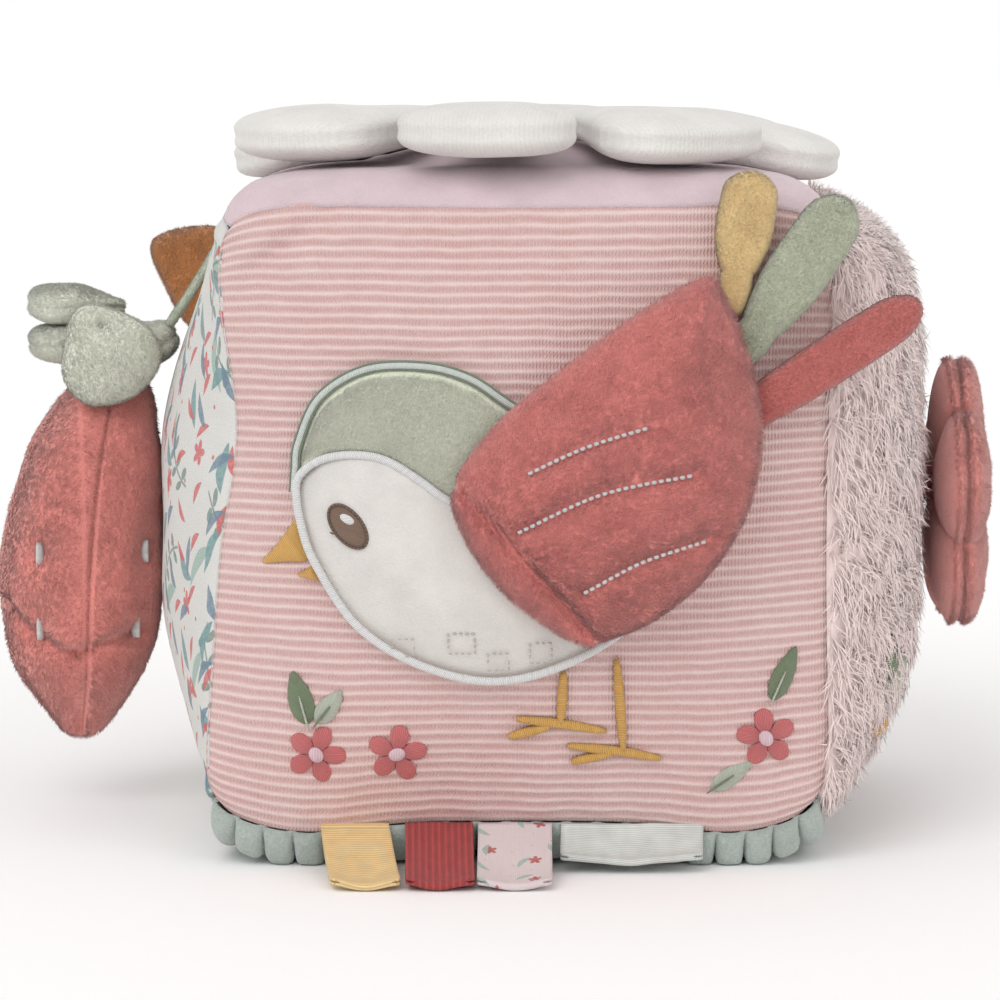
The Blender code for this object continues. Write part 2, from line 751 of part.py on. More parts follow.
def tail():
    """Three double plush tabs and the sewn ends that they hang on."""
    for name, fold, lean_deg, length, width, fold_width, forward in tabs:
        lean = math.radians(lean_deg)
        along = Vector((math.sin(lean), 0.0, math.cos(lean)))
        across = Vector((math.cos(lean), 0.0, -math.sin(lean)))
        origin = Vector((fold[0], -forward, fold[1]))
        outline = strip_outline(tab_shares, length, width, fold_width, tab_points)
        outline = [(max(tab_root_gap / 2, a), b) for a, b in outline]

        def place(point, height):
            return (origin + along * point.x + across * point.y
                    + Vector((0.0, -tab_thickness / 2 * height, 0.0)))

        finish(f"tail_tab_{name}", pillow(outline, (length / 2, 0.0), 6, 0.4, 0.6, place),
               {"yellow": yellow_plush, "sage": sage_plush, "rose": rose_plush}[name])

        half = fold_width / 2 - tab_root_gap
        root = [
            (-tab_root_gap, half), (-root_depth / 2, half), (-root_depth, half * 0.6),
            (-root_depth, -half * 0.6), (-root_depth / 2, -half), (-tab_root_gap, -half),
        ]

        def root_place(point, height):
            at = origin + along * point.x + across * point.y
            seat = front_depth(at.x, at.z) + patch_gap
            at.y -= root_thickness / 2 * max(height, 0.0)
            at.y += (forward - seat) * max(-height, 0.0)
            return at

        root_outline = [(min(a, -tab_root_gap / 2), b) for a, b in smooth_loop(root, 12)]
        finish(f"tail_root_{name}",
               pillow(root_outline, (-root_depth / 2, 0.0), 4, 0.4, 0.6, root_place),
               {"yellow": yellow_plush, "sage": sage_plush, "rose": rose_plush}[name])


def tag(name, left, width, reach, end_height, lean):
    """A folded ribbon whose two ends are sewn in the front bottom seam."""
    seam = min(block_point(edge / half_width, -1.0, -1.0).y for edge in (left, left + width))
    start_y = seam - tag_seam_clearance
    start_z = bottom_seam_height
    end_y = start_y - reach
    path = []
    for k in range(tag_run_points):
        share = k / (tag_run_points - 1)
        path.append((start_y + (end_y - start_y) * share,
                     start_z + (end_height + tag_fold_radius - start_z) * math.sin(share * math.pi / 2)))
    run = Vector((path[-1][0] - path[-2][0], path[-1][1] - path[-2][1])).normalized()
    side = Vector((-run.y, run.x))
    half_gap = tag_fold_radius - tag_thickness

    def offset(amount):
        points = []
        for i, point in enumerate(path):
            ahead, behind = path[min(i + 1, len(path) - 1)], path[max(i - 1, 0)]
            direction = Vector((ahead[0] - behind[0], ahead[1] - behind[1])).normalized()
            normal = Vector((-direction.y, direction.x))
            points.append((point[0] + normal.x * amount, point[1] + normal.y * amount))
        return points

    def arc(radius, first, last):
        points = []
        for k in range(1, tag_arc_points):
            angle = math.radians(first + (last - first) * k / tag_arc_points)
            points.append((
                path[-1][0] + side.x * radius * math.cos(angle) + run.x * radius * math.sin(angle),
                path[-1][1] + side.y * radius * math.cos(angle) + run.y * radius * math.sin(angle),
            ))
        return points

    outer = offset(tag_fold_radius) + arc(tag_fold_radius, 0, 180) + offset(-tag_fold_radius)[::-1]
    inner = offset(-half_gap) + arc(half_gap, 180, 0) + offset(half_gap)[::-1]
    mesh_maker = bmesh.new()
    section = [mesh_maker.verts.new((left, y, z)) for y, z in outer + inner]
    face = mesh_maker.faces.new(section)
    grown = bmesh.ops.extrude_face_region(mesh_maker, geom=[face], use_keep_orig=True)["geom"]
    for item in grown:
        if isinstance(item, bmesh.types.BMVert):
            item.co.x += width
    for vert in mesh_maker.verts:
        vert.co.x += lean * (start_y - vert.co.y) / reach
    surface = {"yellow": yellow_satin, "red": red_ribbon, "printed": pink_ribbon,
               "white": white_ribbon}[name]
    return finish(f"tag_{name}", mesh_maker, surface, smooth=False)


def top_flower():
    """The padded flower on the top panel: eight petals around a button."""
    crown = block_point(0.0, 0.0, 1.0).z + seam_gap
    profile = [
        (0.0, 0.0), (0.0, flower_centre_radius * 0.7), (flower_centre_height * 0.2,
                                                       flower_centre_radius * 0.94),
        (flower_centre_height * 0.5, flower_centre_radius),
        (flower_centre_height * 0.8, flower_centre_radius * 0.86),
        (flower_centre_height, flower_centre_radius * 0.45), (flower_centre_height * 0.96, 0.0),
    ]
    finish("flower_button", turned(profile, round_sides, Matrix(), Vector((0, 0, crown))),
           yellow_plush)

    length = petal_reach - petal_fold_radius
    upper = [(length * u, petal_width / 2 * v) for u, v in petal_shares]
    lower = [(length * u, -petal_width / 2 * v) for u, v in petal_shares[-2::-1]]
    outline = smooth_loop(upper + lower, petal_points)
    for number in range(petal_count):
        turn = math.radians(petal_first_deg + 360.0 / petal_count * number)
        droop = math.radians(petal_droop_deg[number])
        out = Vector((math.cos(turn), math.sin(turn), 0.0))
        across = Vector((-math.sin(turn), math.cos(turn), 0.0))
        along = out * math.cos(droop) - Vector((0, 0, math.sin(droop)))
        up = Vector((0, 0, math.cos(droop))) + out * math.sin(droop)
        origin = out * petal_fold_radius + Vector((0, 0, crown - seam_gap + petal_lift))

        def place(point, height):
            grow = petal_inner_share + (1 - petal_inner_share) * min(1.0, point.x / length / 0.6)
            return (origin + along * point.x + across * point.y
                    + up * (petal_thickness / 2 * grow * height))

        finish(f"petal_{number + 1}", pillow(outline, (length * 0.62, 0.0), 6, 0.75, 0.8, place),
               petal_velour)


def strawberry():
    """The stuffed strawberry, its four plush leaves and the tape that it hangs on."""
    low = Vector((berry_middle, 0.0, berry_tip_height))
    profile = [(berry_length * u, berry_width / 2 * v) for u, v in berry_ring_shares]
    mesh_maker = turned(profile, berry_sides, Matrix(), Vector((0, 0, 0)))
    for vert in mesh_maker.verts:
        angle = math.atan2(vert.co.y, vert.co.x)
        hollow = 1.0 - berry_seam_share * (0.5 + 0.5 * math.cos(berry_seams * angle))
        vert.co.x *= hollow
        vert.co.y *= hollow * berry_depth_share
        vert.co += low
    finish("strawberry_body", mesh_maker, rose_plush)

    top = berry_tip_height + berry_length + calyx_lift
    names = ("front", "left", "back", "right")
    for name, size, turn_deg, tilt_deg, roll_deg, start in zip(
            names, calyx_leaf_sizes, calyx_leaf_turns_deg, calyx_leaf_tilts_deg,
            calyx_leaf_rolls_deg, calyx_leaf_starts):
        length, width = calyx_leaf_length * size, calyx_leaf_width * size
        outline = smooth_loop([(length * u, width * v) for u, v in calyx_leaf_shares], calyx_points)
        turn, tilt, roll = (math.radians(angle) for angle in (turn_deg, tilt_deg, roll_deg))
        out = Vector((math.cos(turn), math.sin(turn), 0.0))
        side = Vector((-math.sin(turn), math.cos(turn), 0.0))
        along = out * math.cos(tilt) + Vector((0, 0, math.sin(tilt)))
        top_way = Vector((0, 0, math.cos(tilt))) - out * math.sin(tilt)
        across = side * math.cos(roll) + top_way * math.sin(roll)
        up = top_way * math.cos(roll) - side * math.sin(roll)
        origin = Vector((berry_middle, 0.0, top)) + Vector(start)

        def place(point, height):
            grow = 0.5 + 0.5 * min(1.0, point.x / length / 0.5)
            return (origin + along * point.x + across * point.y
                    + up * (calyx_leaf_thickness / 2 * grow * height))

        finish(f"strawberry_leaf_{name}", pillow(outline, (length * 0.55, 0.0), 6, 0.8, 0.8, place),
               sage_plush)

    start = block_point(-1.0, 0.0, tape_foot_share)
    start.x -= tape_thickness / 2 + seam_gap
    end = low + Vector((tape_end_side, 0.0, berry_length + tape_end_rise))
    mesh_maker = bmesh.new()
    rings = []
    run = (end - start).normalized()
    side = Vector((-run.z, 0.0, run.x))
    for k in range(tape_points):
        share = k / (tape_points - 1)
        point = start.lerp(end, share) - side * tape_sag * math.sin(math.pi * share)
        rings.append([
            mesh_maker.verts.new(point + side * tape_thickness / 2 * s + Vector(
                (0, tape_width / 2 * w, 0))) for s, w in ((1, 1), (1, -1), (-1, -1), (-1, 1))
        ])
    for one, two in zip(rings, rings[1:]):
        for k in range(4):
            mesh_maker.faces.new((one[k], one[(k + 1) % 4], two[(k + 1) % 4], two[k]))
    mesh_maker.faces.new(rings[0])
    mesh_maker.faces.new(rings[-1][::-1])
    finish("strawberry_tape", mesh_maker, sage_plush, smooth=False)


def rose_flower():
    """The stuffed rose flower, sewn to the fur panel through its middle."""
    face = block_point(1.0, 0.0, (rose_middle_height - block_middle) / half_height).x + pile_height
    shank_start = face + seam_gap
    inner_face = shank_start + shank_length
    outline = lobed((0.0, 0.0), rose_radius, rose_petals, rose_waist_share, rose_points)
    middle_x = inner_face + rose_thickness / 2 + seam_gap

    def place(point, height):
        return Vector((middle_x + rose_thickness / 2 * height, point.x,
                       rose_middle_height + point.y))

    finish("rose_flower", pillow(outline, (0.0, 0.0), 6, 0.7, 0.8, place), rose_plush)
    shank = [
        (0.0, 0.0), (0.0, shank_radius), (shank_length - shank_dome, shank_radius),
        (shank_length, shank_radius * shank_tip_share), (shank_length, 0.0),
    ]
    finish("rose_shank",
           turned(shank, 12, Matrix.Rotation(math.radians(90), 4, "Y"),
                  Vector((shank_start, 0.0, rose_middle_height))), rose_thread)


def caramel_flap():
    """The pointed plush flap sewn into the left back seam."""
    turn = math.radians(flap_turn_deg)
    out = Vector((-math.cos(turn), math.sin(turn), 0.0))
    away = Vector((math.sin(turn), math.cos(turn), 0.0))
    corner = block_point(-1.0, 1.0, (flap_foot_height - block_middle) / half_height)
    origin = corner + out * flap_clearance
    outline = smooth_loop(
        [(flap_length * u, flap_width * v) for u, v in flap_shares], flap_points
    )
    outline = [(max(0.0, a), b) for a, b in outline]

    def place(point, height):
        return (origin + out * point.x + Vector((0, 0, point.y))
                + away * (flap_thickness / 2 * height))

    finish("caramel_flap", pillow(outline, (flap_length * 0.45, 0.0), 6, 0.5, 0.7, place),
           caramel_plush)


panel("front", rose_knit)
panel("back", rose_cotton)
panel("left", white_cotton)
panel("right", pink_fur)
panel("top", lilac_velour)
bottom_panel()
stuffing()
bird()
embroidery()
wing()
tail()
for tag_values in tags:
    tag(*tag_values)
top_flower()
strawberry()
rose_flower()
caramel_flap()
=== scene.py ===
"""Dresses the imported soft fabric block: cloth, plush, stitching, ribbons and the stage."""

import math

import bmesh
import bpy
import numpy
from mathutils import Matrix, Vector, noise


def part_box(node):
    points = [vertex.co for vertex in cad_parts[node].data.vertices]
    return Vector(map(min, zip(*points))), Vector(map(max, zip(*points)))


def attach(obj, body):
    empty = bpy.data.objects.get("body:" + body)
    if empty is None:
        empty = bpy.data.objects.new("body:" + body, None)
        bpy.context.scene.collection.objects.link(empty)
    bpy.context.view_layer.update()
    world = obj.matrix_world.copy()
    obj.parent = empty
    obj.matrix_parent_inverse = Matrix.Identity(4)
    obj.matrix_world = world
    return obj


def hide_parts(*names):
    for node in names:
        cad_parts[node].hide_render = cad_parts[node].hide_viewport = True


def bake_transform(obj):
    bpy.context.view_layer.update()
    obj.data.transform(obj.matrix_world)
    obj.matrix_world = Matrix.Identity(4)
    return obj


bl_info = {
    "name": "Soft Fabric Block",
    "version": (1, 0, 0),
    "blender": (4, 5, 0),
    "location": "3D View > Sidebar > Fabric Block",
    "description": "Builds the cloth, plush and stitching of a stuffed activity block",
    "category": "Object",
}

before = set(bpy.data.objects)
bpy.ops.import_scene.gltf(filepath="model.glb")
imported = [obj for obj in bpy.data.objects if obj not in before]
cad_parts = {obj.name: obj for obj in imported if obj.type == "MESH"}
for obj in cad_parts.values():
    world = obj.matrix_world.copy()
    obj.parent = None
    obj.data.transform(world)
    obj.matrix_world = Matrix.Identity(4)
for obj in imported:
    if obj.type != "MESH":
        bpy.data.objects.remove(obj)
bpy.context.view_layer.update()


# Sizes that come from the frame

seam_half = 0.075
seam_bottom = 0.011
seam_top = seam_bottom + 2 * seam_half
block_middle = seam_bottom + seam_half
front_bulge = -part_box("front_panel")[0].y - seam_half
back_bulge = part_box("back_panel")[1].y - seam_half
left_bulge = -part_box("left_panel")[0].x - seam_half
right_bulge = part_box("right_panel")[1].x - seam_half
top_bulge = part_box("top_panel")[1].z - seam_top
seam_bow = 0.002
panel_share = 0.998


# Shader maths

class Value:
    """A socket of a material's nodes, so that shader maths can be written as sums."""

    def __init__(self, surface, socket):
        self.surface = surface
        self.socket = socket

    def math(self, operation, *others, clamp=False):
        settings = {"operation": operation, "use_clamp": clamp}
        return self.surface.node("ShaderNodeMath", settings, [self, *others])

    def __add__(self, other):
        return self.math("ADD", other)

    def __sub__(self, other):
        return self.math("SUBTRACT", other)

    def __mul__(self, other):
        return self.math("MULTIPLY", other)

    def __truediv__(self, other):
        return self.math("DIVIDE", other)

    def __pow__(self, other):
        return self.math("POWER", other)

    def __rsub__(self, other):
        return self.surface.node("ShaderNodeMath", {"operation": "SUBTRACT"}, [other, self])

    __radd__ = __add__
    __rmul__ = __mul__

    def wave(self):
        """A smooth wave from 0 to 1 and back, once for each whole step of the value."""
        return (self * (2 * math.pi)).math("COSINE") * 0.5 + 0.5

    def fraction(self):
        return self.math("FRACT")

    def floor(self):
        return self.math("FLOOR")

    def absolute(self):
        return self.math("ABSOLUTE")

    def clamped(self):
        """The value kept between 0 and 1."""
        return self.math("ADD", 0.0, clamp=True)

    def below(self, edge, soft):
        """1 where the value lies under the edge, 0 over it, with a soft step."""
        return ((edge - self) / soft + 0.5).clamped()


def linear(colour):
    """Linear light for a screen colour from 0 to 1."""
    return tuple(c / 12.92 if c <= 0.04045 else ((c + 0.055) / 1.055) ** 2.4 for c in colour)


def shaded(colour, factor):
    """The same colour made lighter or darker."""
    return tuple(share_of_one(c * factor) for c in colour)


class Surface:
    """A material, built up from nodes in front of its Principled shader."""

    def __init__(self, name, roughness=0.85, sheen=0.0, metallic=0.0):
        self.material = bpy.data.materials.new(name)
        self.material.use_nodes = True
        self.tree = self.material.node_tree
        self.shader = self.tree.nodes["Principled BSDF"]
        self.shader.inputs["Roughness"].default_value = roughness
        self.shader.inputs["Metallic"].default_value = metallic
        self.shader.inputs["Sheen Weight"].default_value = sheen
        self.shader.inputs["Sheen Roughness"].default_value = 0.5
        self.shader.inputs["Specular IOR Level"].default_value = 0.25

    def feed(self, socket, value):
        if isinstance(value, Value):
            self.tree.links.new(value.socket, socket)
        elif socket.type == "RGBA" and len(value) == 3:
            socket.default_value = (*value, 1.0)
        else:
            socket.default_value = value

    def node(self, kind, settings=None, values=(), named=None, out=0):
        """Adds a node, sets it up, feeds its sockets and returns one of its outputs."""
        made = self.tree.nodes.new(kind)
        for key, value in (settings or {}).items():
            if key == "stops":
                ramp = made.color_ramp
                while len(ramp.elements) < len(value):
                    ramp.elements.new(0.5)
                for element, (place, colour) in zip(ramp.elements, value):
                    element.position = place
                    element.color = (*colour, 1.0)
            else:
                setattr(made, key, value)
        for socket, value in zip(made.inputs, values):
            self.feed(socket, value)
        for key, value in (named or {}).items():
            self.feed(made.inputs[key], value)
        return Value(self, made.outputs[out])

    def place(self):
        """Where a point lies in the object's own space, in metres."""
        return self.node("ShaderNodeTexCoord", out="Object")

    def flat(self):
        """Where a point lies on the flat cloth, in metres."""
        return self.node("ShaderNodeUVMap", {"uv_map": "flat"})

    def pile(self):
        """How far up a hair a point lies, the hair's tone, and 1 on hairs."""
        made = self.node("ShaderNodeAttribute", {"attribute_name": "pile"}, out="Color")
        return self.parts(made)

    def parts(self, vector):
        """The x, y and z of a vector."""
        made = self.node("ShaderNodeSeparateXYZ", None, [vector])
        return [Value(self, made.socket.node.outputs[axis]) for axis in range(3)]

    def join(self, x, y, z=0.0):
        return self.node("ShaderNodeCombineXYZ", None, [x, y, z])

    def grain(self, vector, scale, detail=2.0, rough=0.5):
        """Soft noise around 0.5."""
        named = {"Vector": vector, "Scale": scale, "Detail": detail, "Roughness": rough}
        return self.node("ShaderNodeTexNoise", None, (), named, "Fac")

    def hash(self, vector, out="Value"):
        """An even random value for each whole place."""
        return self.node(
            "ShaderNodeTexWhiteNoise", {"noise_dimensions": "3D"}, (), {"Vector": vector}, out
        )

    def mix(self, low, high, share):
        """A colour between two."""
        made = self.tree.nodes.new("ShaderNodeMix")
        made.data_type = "RGBA"
        self.feed(made.inputs[0], share)
        self.feed(made.inputs[6], low)
        self.feed(made.inputs[7], high)
        return Value(self, made.outputs[2])

    def paint(self, colour):
        self.feed(self.shader.inputs["Base Color"], colour)

    def tint(self, colour, dark, light, share):
        """Paints shades of one colour, from a darker to a lighter one."""
        self.paint(self.mix(linear(shaded(colour, dark)), linear(shaded(colour, light)), share))

    def emboss(self, height, depth):
        """Bumps the surface by a height from 0 to 1, as deep as the depth in metres."""
        named = {"Height": height, "Distance": depth, "Strength": 1.0}
        bump = self.node("ShaderNodeBump", None, (), named, "Normal")
        self.feed(self.shader.inputs["Normal"], bump)
        return self.material


# Cloth and thread

def plush(name, colour, crush=0.5):
    """Short plush: fine mottled pile, in patches that lie another way."""
    made = Surface(name, roughness=0.95, sheen=0.55)
    where = made.place()
    rise, tone, hair = made.pile()
    hairs = made.grain(where, 1500, 3.0, 0.7) - 0.5
    crushed = made.grain(where, 75, 3.0, 0.6) - 0.5
    share = hairs * 1.3 + crushed * (1.9 * crush) + (tone - 0.5) * 0.65 + (rise - 0.3) * hair * 0.35
    share = (share + 0.5).clamped()
    made.tint(colour, 0.86, 1.09, share)
    return made.emboss(hairs + crushed * crush, 0.0006)


def velour(name, colour, rib=0.0):
    """Smooth velour, with fine ribs if they have a width."""
    made = Surface(name, roughness=0.9, sheen=0.25)
    where = made.place()
    hairs = made.grain(where, 2200, 2.0, 0.6)
    soft = made.grain(where, 90, 3.0, 0.6)
    height = hairs * 0.35 + soft * 0.3
    share = (hairs * 0.5 + soft * 0.8 - 0.15).clamped()
    if rib:
        line = (made.parts(made.flat())[1] / rib + soft * 0.2).wave()
        height = height + line * 0.12
        share = (share * 0.9 + line * 0.1).clamped()
    made.tint(colour, 0.88, 1.04, share)
    return made.emboss(height, 0.0007)


def ribbed_knit(name, ridge_colour, hollow_colour, pitch):
    """Pale soft ridges with darker knitted rows between them."""
    made = Surface(name, roughness=0.92, sheen=0.2)
    across, up, _ = made.parts(made.flat())
    where = made.place()
    fuzz = made.grain(where, 1700, 2.0, 0.7)
    ridge = (up / pitch).wave()
    stitch = (across / 0.00085 + ((up / 0.0011).fraction() - 0.5).absolute() * 0.5).wave()
    worn = made.grain(made.join(across * 160.0, up * 700.0), 1.0, 2.0)
    cloud = made.grain(where, 38, 3.0)
    share = ridge ** 2.2 * 0.75 + (fuzz - 0.5) * 0.5 + (worn - 0.5) * 0.6
    share = share + stitch * 0.28 * (1.0 - ridge)
    share = (share + (cloud - 0.5) * 0.5 + 0.04).clamped()
    made.paint(made.mix(linear(hollow_colour), linear(ridge_colour), share))
    return made.emboss(ridge * 0.2 + stitch * 0.6 * (1.0 - ridge * 0.7) + fuzz * 0.3, 0.0005)


def woven(name, colour, pitch=0.0006, depth=0.0002, roughness=0.85):
    """Plain weave in one colour."""
    made = Surface(name, roughness=roughness, sheen=0.1)
    across, up, _ = made.parts(made.flat())
    warp = (across / pitch).wave()
    weft = (up / pitch + (across / pitch).floor() * 0.5).wave()
    cloud = made.grain(made.place(), 120, 3.0)
    share = (warp * 0.25 + weft * 0.25 + cloud * 0.6).clamped()
    made.tint(colour, 0.90, 1.03, share)
    return made.emboss(warp * 0.5 + weft * 0.5, depth)


def satin_stitch(name, colour, pitch=0.00042, shine=0.55):
    """Threads laid side by side across the flat cloth's first direction."""
    made = Surface(name, roughness=shine, sheen=0.15)
    along = made.parts(made.flat())[0]
    wander = made.grain(made.flat(), 900, 1.0)
    thread = (along / pitch + wander * 0.5).wave()
    tone = made.grain(made.join((along / pitch).floor(), 0.0), 3.7, 0.0)
    share = (thread * 0.7 + tone * 0.5 - 0.1).clamped()
    made.tint(colour, 0.82, 1.08, share)
    return made.emboss(thread, 0.00018)


def printed_cotton(name, ground, inks, cell):
    """White cotton with small sprigs, leaves, berries and dots in a layout of its own."""
    made = Surface(name, roughness=0.85, sheen=0.08)
    across, up, _ = made.parts(made.flat())
    weave = (across / 0.0005).wave() * (up / 0.0005).wave()
    colour = made.mix(linear(shaded(ground, 0.97)), linear(ground), weave)
    for layer, (kind, ink, grow) in enumerate(inks):
        size = cell * grow
        x = across / size + 0.37 * layer
        y = up / size + 0.61 * layer
        column = x.floor()
        y = y + column * 0.5
        home = made.join(column, y.floor(), float(layer) * 3.1)
        spin = made.hash(home) * 2.4 - 1.2
        shift, lift, chance = made.parts(made.hash(home, "Color"))
        a = x.fraction() - 0.5 - (shift - 0.5) * 0.3
        b = y.fraction() - 0.5 - (lift - 0.5) * 0.3
        cosine, sine = spin.math("COSINE"), spin.math("SINE")
        p = a * cosine + b * sine
        q = b * cosine - a * sine
        if kind == "leaf":
            bend = p - q * q * 0.8
            mask = (bend.absolute() / (0.085 - q * q * 0.9).math("MAXIMUM", 0.0001)).below(1.0, 0.2)
        elif kind == "sprig":
            bend = p - q * q * 0.9
            stem = bend.absolute().below(0.012, 0.012) * q.absolute().below(0.36, 0.02)
            step = (q * 6.0).fraction() - 0.5
            side = bend.absolute() - 0.075 - step * 0.08
            blades = (side * side / 0.0035 + (step * step) / 0.05).below(1.0, 0.3)
            mask = stem.math("MAXIMUM", blades * q.absolute().below(0.3, 0.02))
        elif kind == "bloom":
            turn = q.math("ARCTAN2", p)
            reach = (p * p + q * q) ** 0.5
            mask = (reach / ((turn * 2.5).math("COSINE").absolute() * 0.09 + 0.07)).below(1.0, 0.15)
        else:
            mask = (p * p + q * q).below(0.0022, 0.0012)
        mask = mask * chance.below(0.8, 0.01)
        wash = made.grain(made.flat(), 900, 2.0) * 0.5 + 0.6
        colour = made.mix(colour, linear(ink), (mask * wash).clamped())
    made.paint(colour)
    return made.emboss(weave, 0.00012)


def ribbon(name, colour, pitch, upright, depth, shine):
    """Ribbon with fine ribs across or along it."""
    made = Surface(name, roughness=shine, sheen=0.1)
    across, up, _ = made.parts(made.flat())
    line = ((across if upright else up) / pitch).wave()
    cross = ((up if upright else across) / 0.0004).wave()
    cloud = made.grain(made.place(), 260, 2.0)
    share = (line * 0.6 + cloud * 0.5 - 0.05).clamped()
    made.tint(colour, 0.78, 1.06, share)
    return made.emboss(line + cross * 0.2, depth)


def fur(name, colour):
    """Long pile, darker at its roots and paler at its tips."""
    made = Surface(name, roughness=0.8, sheen=0.3)
    where = made.place()
    rise, tone, _ = made.pile()
    clump = made.grain(where, 130, 3.0, 0.6)
    share = (rise * 0.35 + clump * 0.4 + tone * 0.35 - 0.05).clamped()
    made.tint(colour, 0.93, 1.05, share)
    return made.emboss(clump, 0.0006)


def plain(name, colour, roughness, metallic=0.0, depth=0.00005):
    """Moulded plastic or metal, with a faint grain."""
    made = Surface(name, roughness=roughness, metallic=metallic)
    speck = made.grain(made.place(), 700, 2.0)
    made.tint(colour, 0.96, 1.0, speck)
    return made.emboss(speck, depth)


def fibre(name, colour):
    """Loose polyester filling."""
    made = Surface(name, roughness=1.0, sheen=0.3)
    where = made.place()
    curl = made.grain(where, 160, 4.0, 0.7)
    made.tint(colour, 0.85, 1.0, curl)
    return made.emboss(curl, 0.002)


# Making pieces

quarter_turn = Matrix.Rotation(math.pi / 2, 3, "Y")


def piece(name, mesh_maker, surface, body=None, slot=None, stands_for=(), flats=None):
    """Turns a bmesh into a finished piece. Flats are the vertices' places on the flat cloth."""
    if flats:
        mesh_maker.verts.index_update()
        layer = mesh_maker.loops.layers.uv.new("flat")
        for face in mesh_maker.faces:
            for loop in face.loops:
                loop[layer].uv = flats[loop.vert.index]
    mesh = bpy.data.meshes.new(name)
    mesh_maker.to_mesh(mesh)
    mesh_maker.free()
    mesh.materials.append(surface)
    mesh.shade_smooth()
    made = bpy.data.objects.new(name, mesh)
    bpy.context.scene.collection.objects.link(made)
    if body:
        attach(made, body)
    if stands_for:
        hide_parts(*stands_for)
    return made


def face_out(mesh_maker):
    """Points a closed mesh's faces outwards."""
    bmesh.ops.recalc_face_normals(mesh_maker, faces=mesh_maker.faces[:])
    if mesh_maker.calc_volume(signed=True) < 0:
        bmesh.ops.reverse_faces(mesh_maker, faces=mesh_maker.faces[:])


def wall(made, thickness):
    """Gives a sheet its thickness, inwards."""
    solid = made.modifiers.new("wall", "SOLIDIFY")
    solid.thickness = thickness
    solid.offset = -1.0
    return made


def walk(points):
    """How far along a line each of its points lies."""
    lengths = [0.0]
    for one, two in zip(points, points[1:]):
        lengths.append(lengths[-1] + (two - one).length)
    return lengths


def smooth_loop(points, count, closed=True):
    """Points spaced evenly along a smooth curve through the given ones."""
    points = [Vector(point) for point in points]
    total = len(points)
    spans = total if closed else total - 1
    curve = []
    steps = 16
    for i in range(spans):
        if closed:
            before, start = points[i - 1], points[i]
            end, after = points[(i + 1) % total], points[(i + 2) % total]
        else:
            before, start = points[max(i - 1, 0)], points[i]
            end, after = points[i + 1], points[min(i + 2, total - 1)]
        for k in range(steps):
            t = k / steps
            curve.append(0.5 * (
                2 * start + (end - before) * t + (2 * before - 5 * start + 4 * end - after) * t ** 2
                + (3 * start - before - 3 * end + after) * t ** 3
            ))
    curve.append(points[0] if closed else points[-1])
    lengths = walk(curve)
    even = []
    at = 0
    for k in range(count):
        goal = lengths[-1] * k / (count if closed else count - 1)
        while at < len(curve) - 2 and lengths[at + 1] < goal:
            at += 1
        span = max(lengths[at + 1] - lengths[at], 1e-12)
        even.append(curve[at].lerp(curve[at + 1], min(1.0, (goal - lengths[at]) / span)))
    return even


def share_of_one(value):
    """The value kept between 0 and 1."""
    return max(0.0, min(1.0, value))


def uneven(x, y, z):
    """Soft noise around 0."""
    return noise.noise(Vector((x, y, z)))


def swell(share, power=2.0):
    """1 in the middle of a side and 0 at its two ends."""
    return 1.0 - abs(share) ** power


def hump(offset, width):
    """1 at the middle of a soft hump, and almost 0 two widths away."""
    return math.exp(-(offset / width) ** 2)


def round_edge(gap, radius):
    """The height of a rounded rim, from 0 to 1, by the distance from its edge."""
    return math.sqrt(max(0.0, 1.0 - (1.0 - min(1.0, gap / radius)) ** 2))


def flare(x, y, z):
    """How far the front's left edge spreads: least above its middle, most at its foot."""
    spread = 0.0016 + 0.0046 * ((1.0 - z) / 2) ** 2 - 0.0042 * hump(z - 0.30, 0.30)
    return spread * ((1.0 - x) / 2) ** 2 * ((1.0 - y) / 2) ** 4


def sag(x, y, z):
    """How the front's lower seam hangs: lowest near both ends, and pulled up at the corners."""
    hang = 0.0026 * hump(abs(x) - 0.66, 0.22) - 0.0024 * abs(x) ** 14
    return hang * ((1.0 - z) / 2) ** 4 * ((1.0 - y) / 2) ** 4


def arch(x, y, z):
    """How the front's upper seam rises between its corners."""
    return 0.0034 * swell(x, 8.0) * ((1.0 + z) / 2) ** 8 * ((1.0 - y) / 2) ** 4


def block_skin(x, y, z):
    """A point of the stuffed block for a point on the skin of the cube from -1 to 1."""
    across, along, up = swell(x), swell(y), swell(z)
    bulge_x = left_bulge * along * swell(z, 2.0 if z > 0 else 3.8)
    if x > 0:
        bulge_x = base_right_bulge * swell(y, 3.0) * swell(z, 9.0 if z > 0 else 4.5)
    bulge_y = (back_bulge if y > 0 else front_bulge) * across * up
    bulge_z = top_bulge * across * along
    if z < 0:
        bulge_z = (seam_bottom + 0.0005) * swell(x, 14.0) * swell(y, 14.0)
    bow_x = seam_bow * (along + up - 2 * along * up)
    bow_y = seam_bow * (across + up - 2 * across * up)
    bow_z = seam_bow * (across + along - 2 * across * along) if z > 0 else 0.0
    pull = 1.0 - 0.05 * abs(x * y * z) ** 8
    return Vector((
        x * pull * (seam_half + bulge_x - bow_x) - flare(x, y, z),
        y * pull * (seam_half + bulge_y - bow_y),
        block_middle + z * pull * (seam_half + bulge_z - bow_z) - sag(x, y, z) + arch(x, y, z),
    ))


fur_length = 0.003
base_right_bulge = right_bulge - fur_length


def side_point(side, u, v):
    """The block's skin at a place on one of its sides."""
    share = 1.0 if side == "bottom" else panel_share
    u, v = u * share, v * share
    return block_skin(*{
        "front": (u, -1.0, v), "back": (-u, 1.0, v), "left": (-1.0, -u, v), "right": (1.0, u, v),
        "top": (u, v, 1.0), "bottom": (u, -v, -1.0),
    }[side])


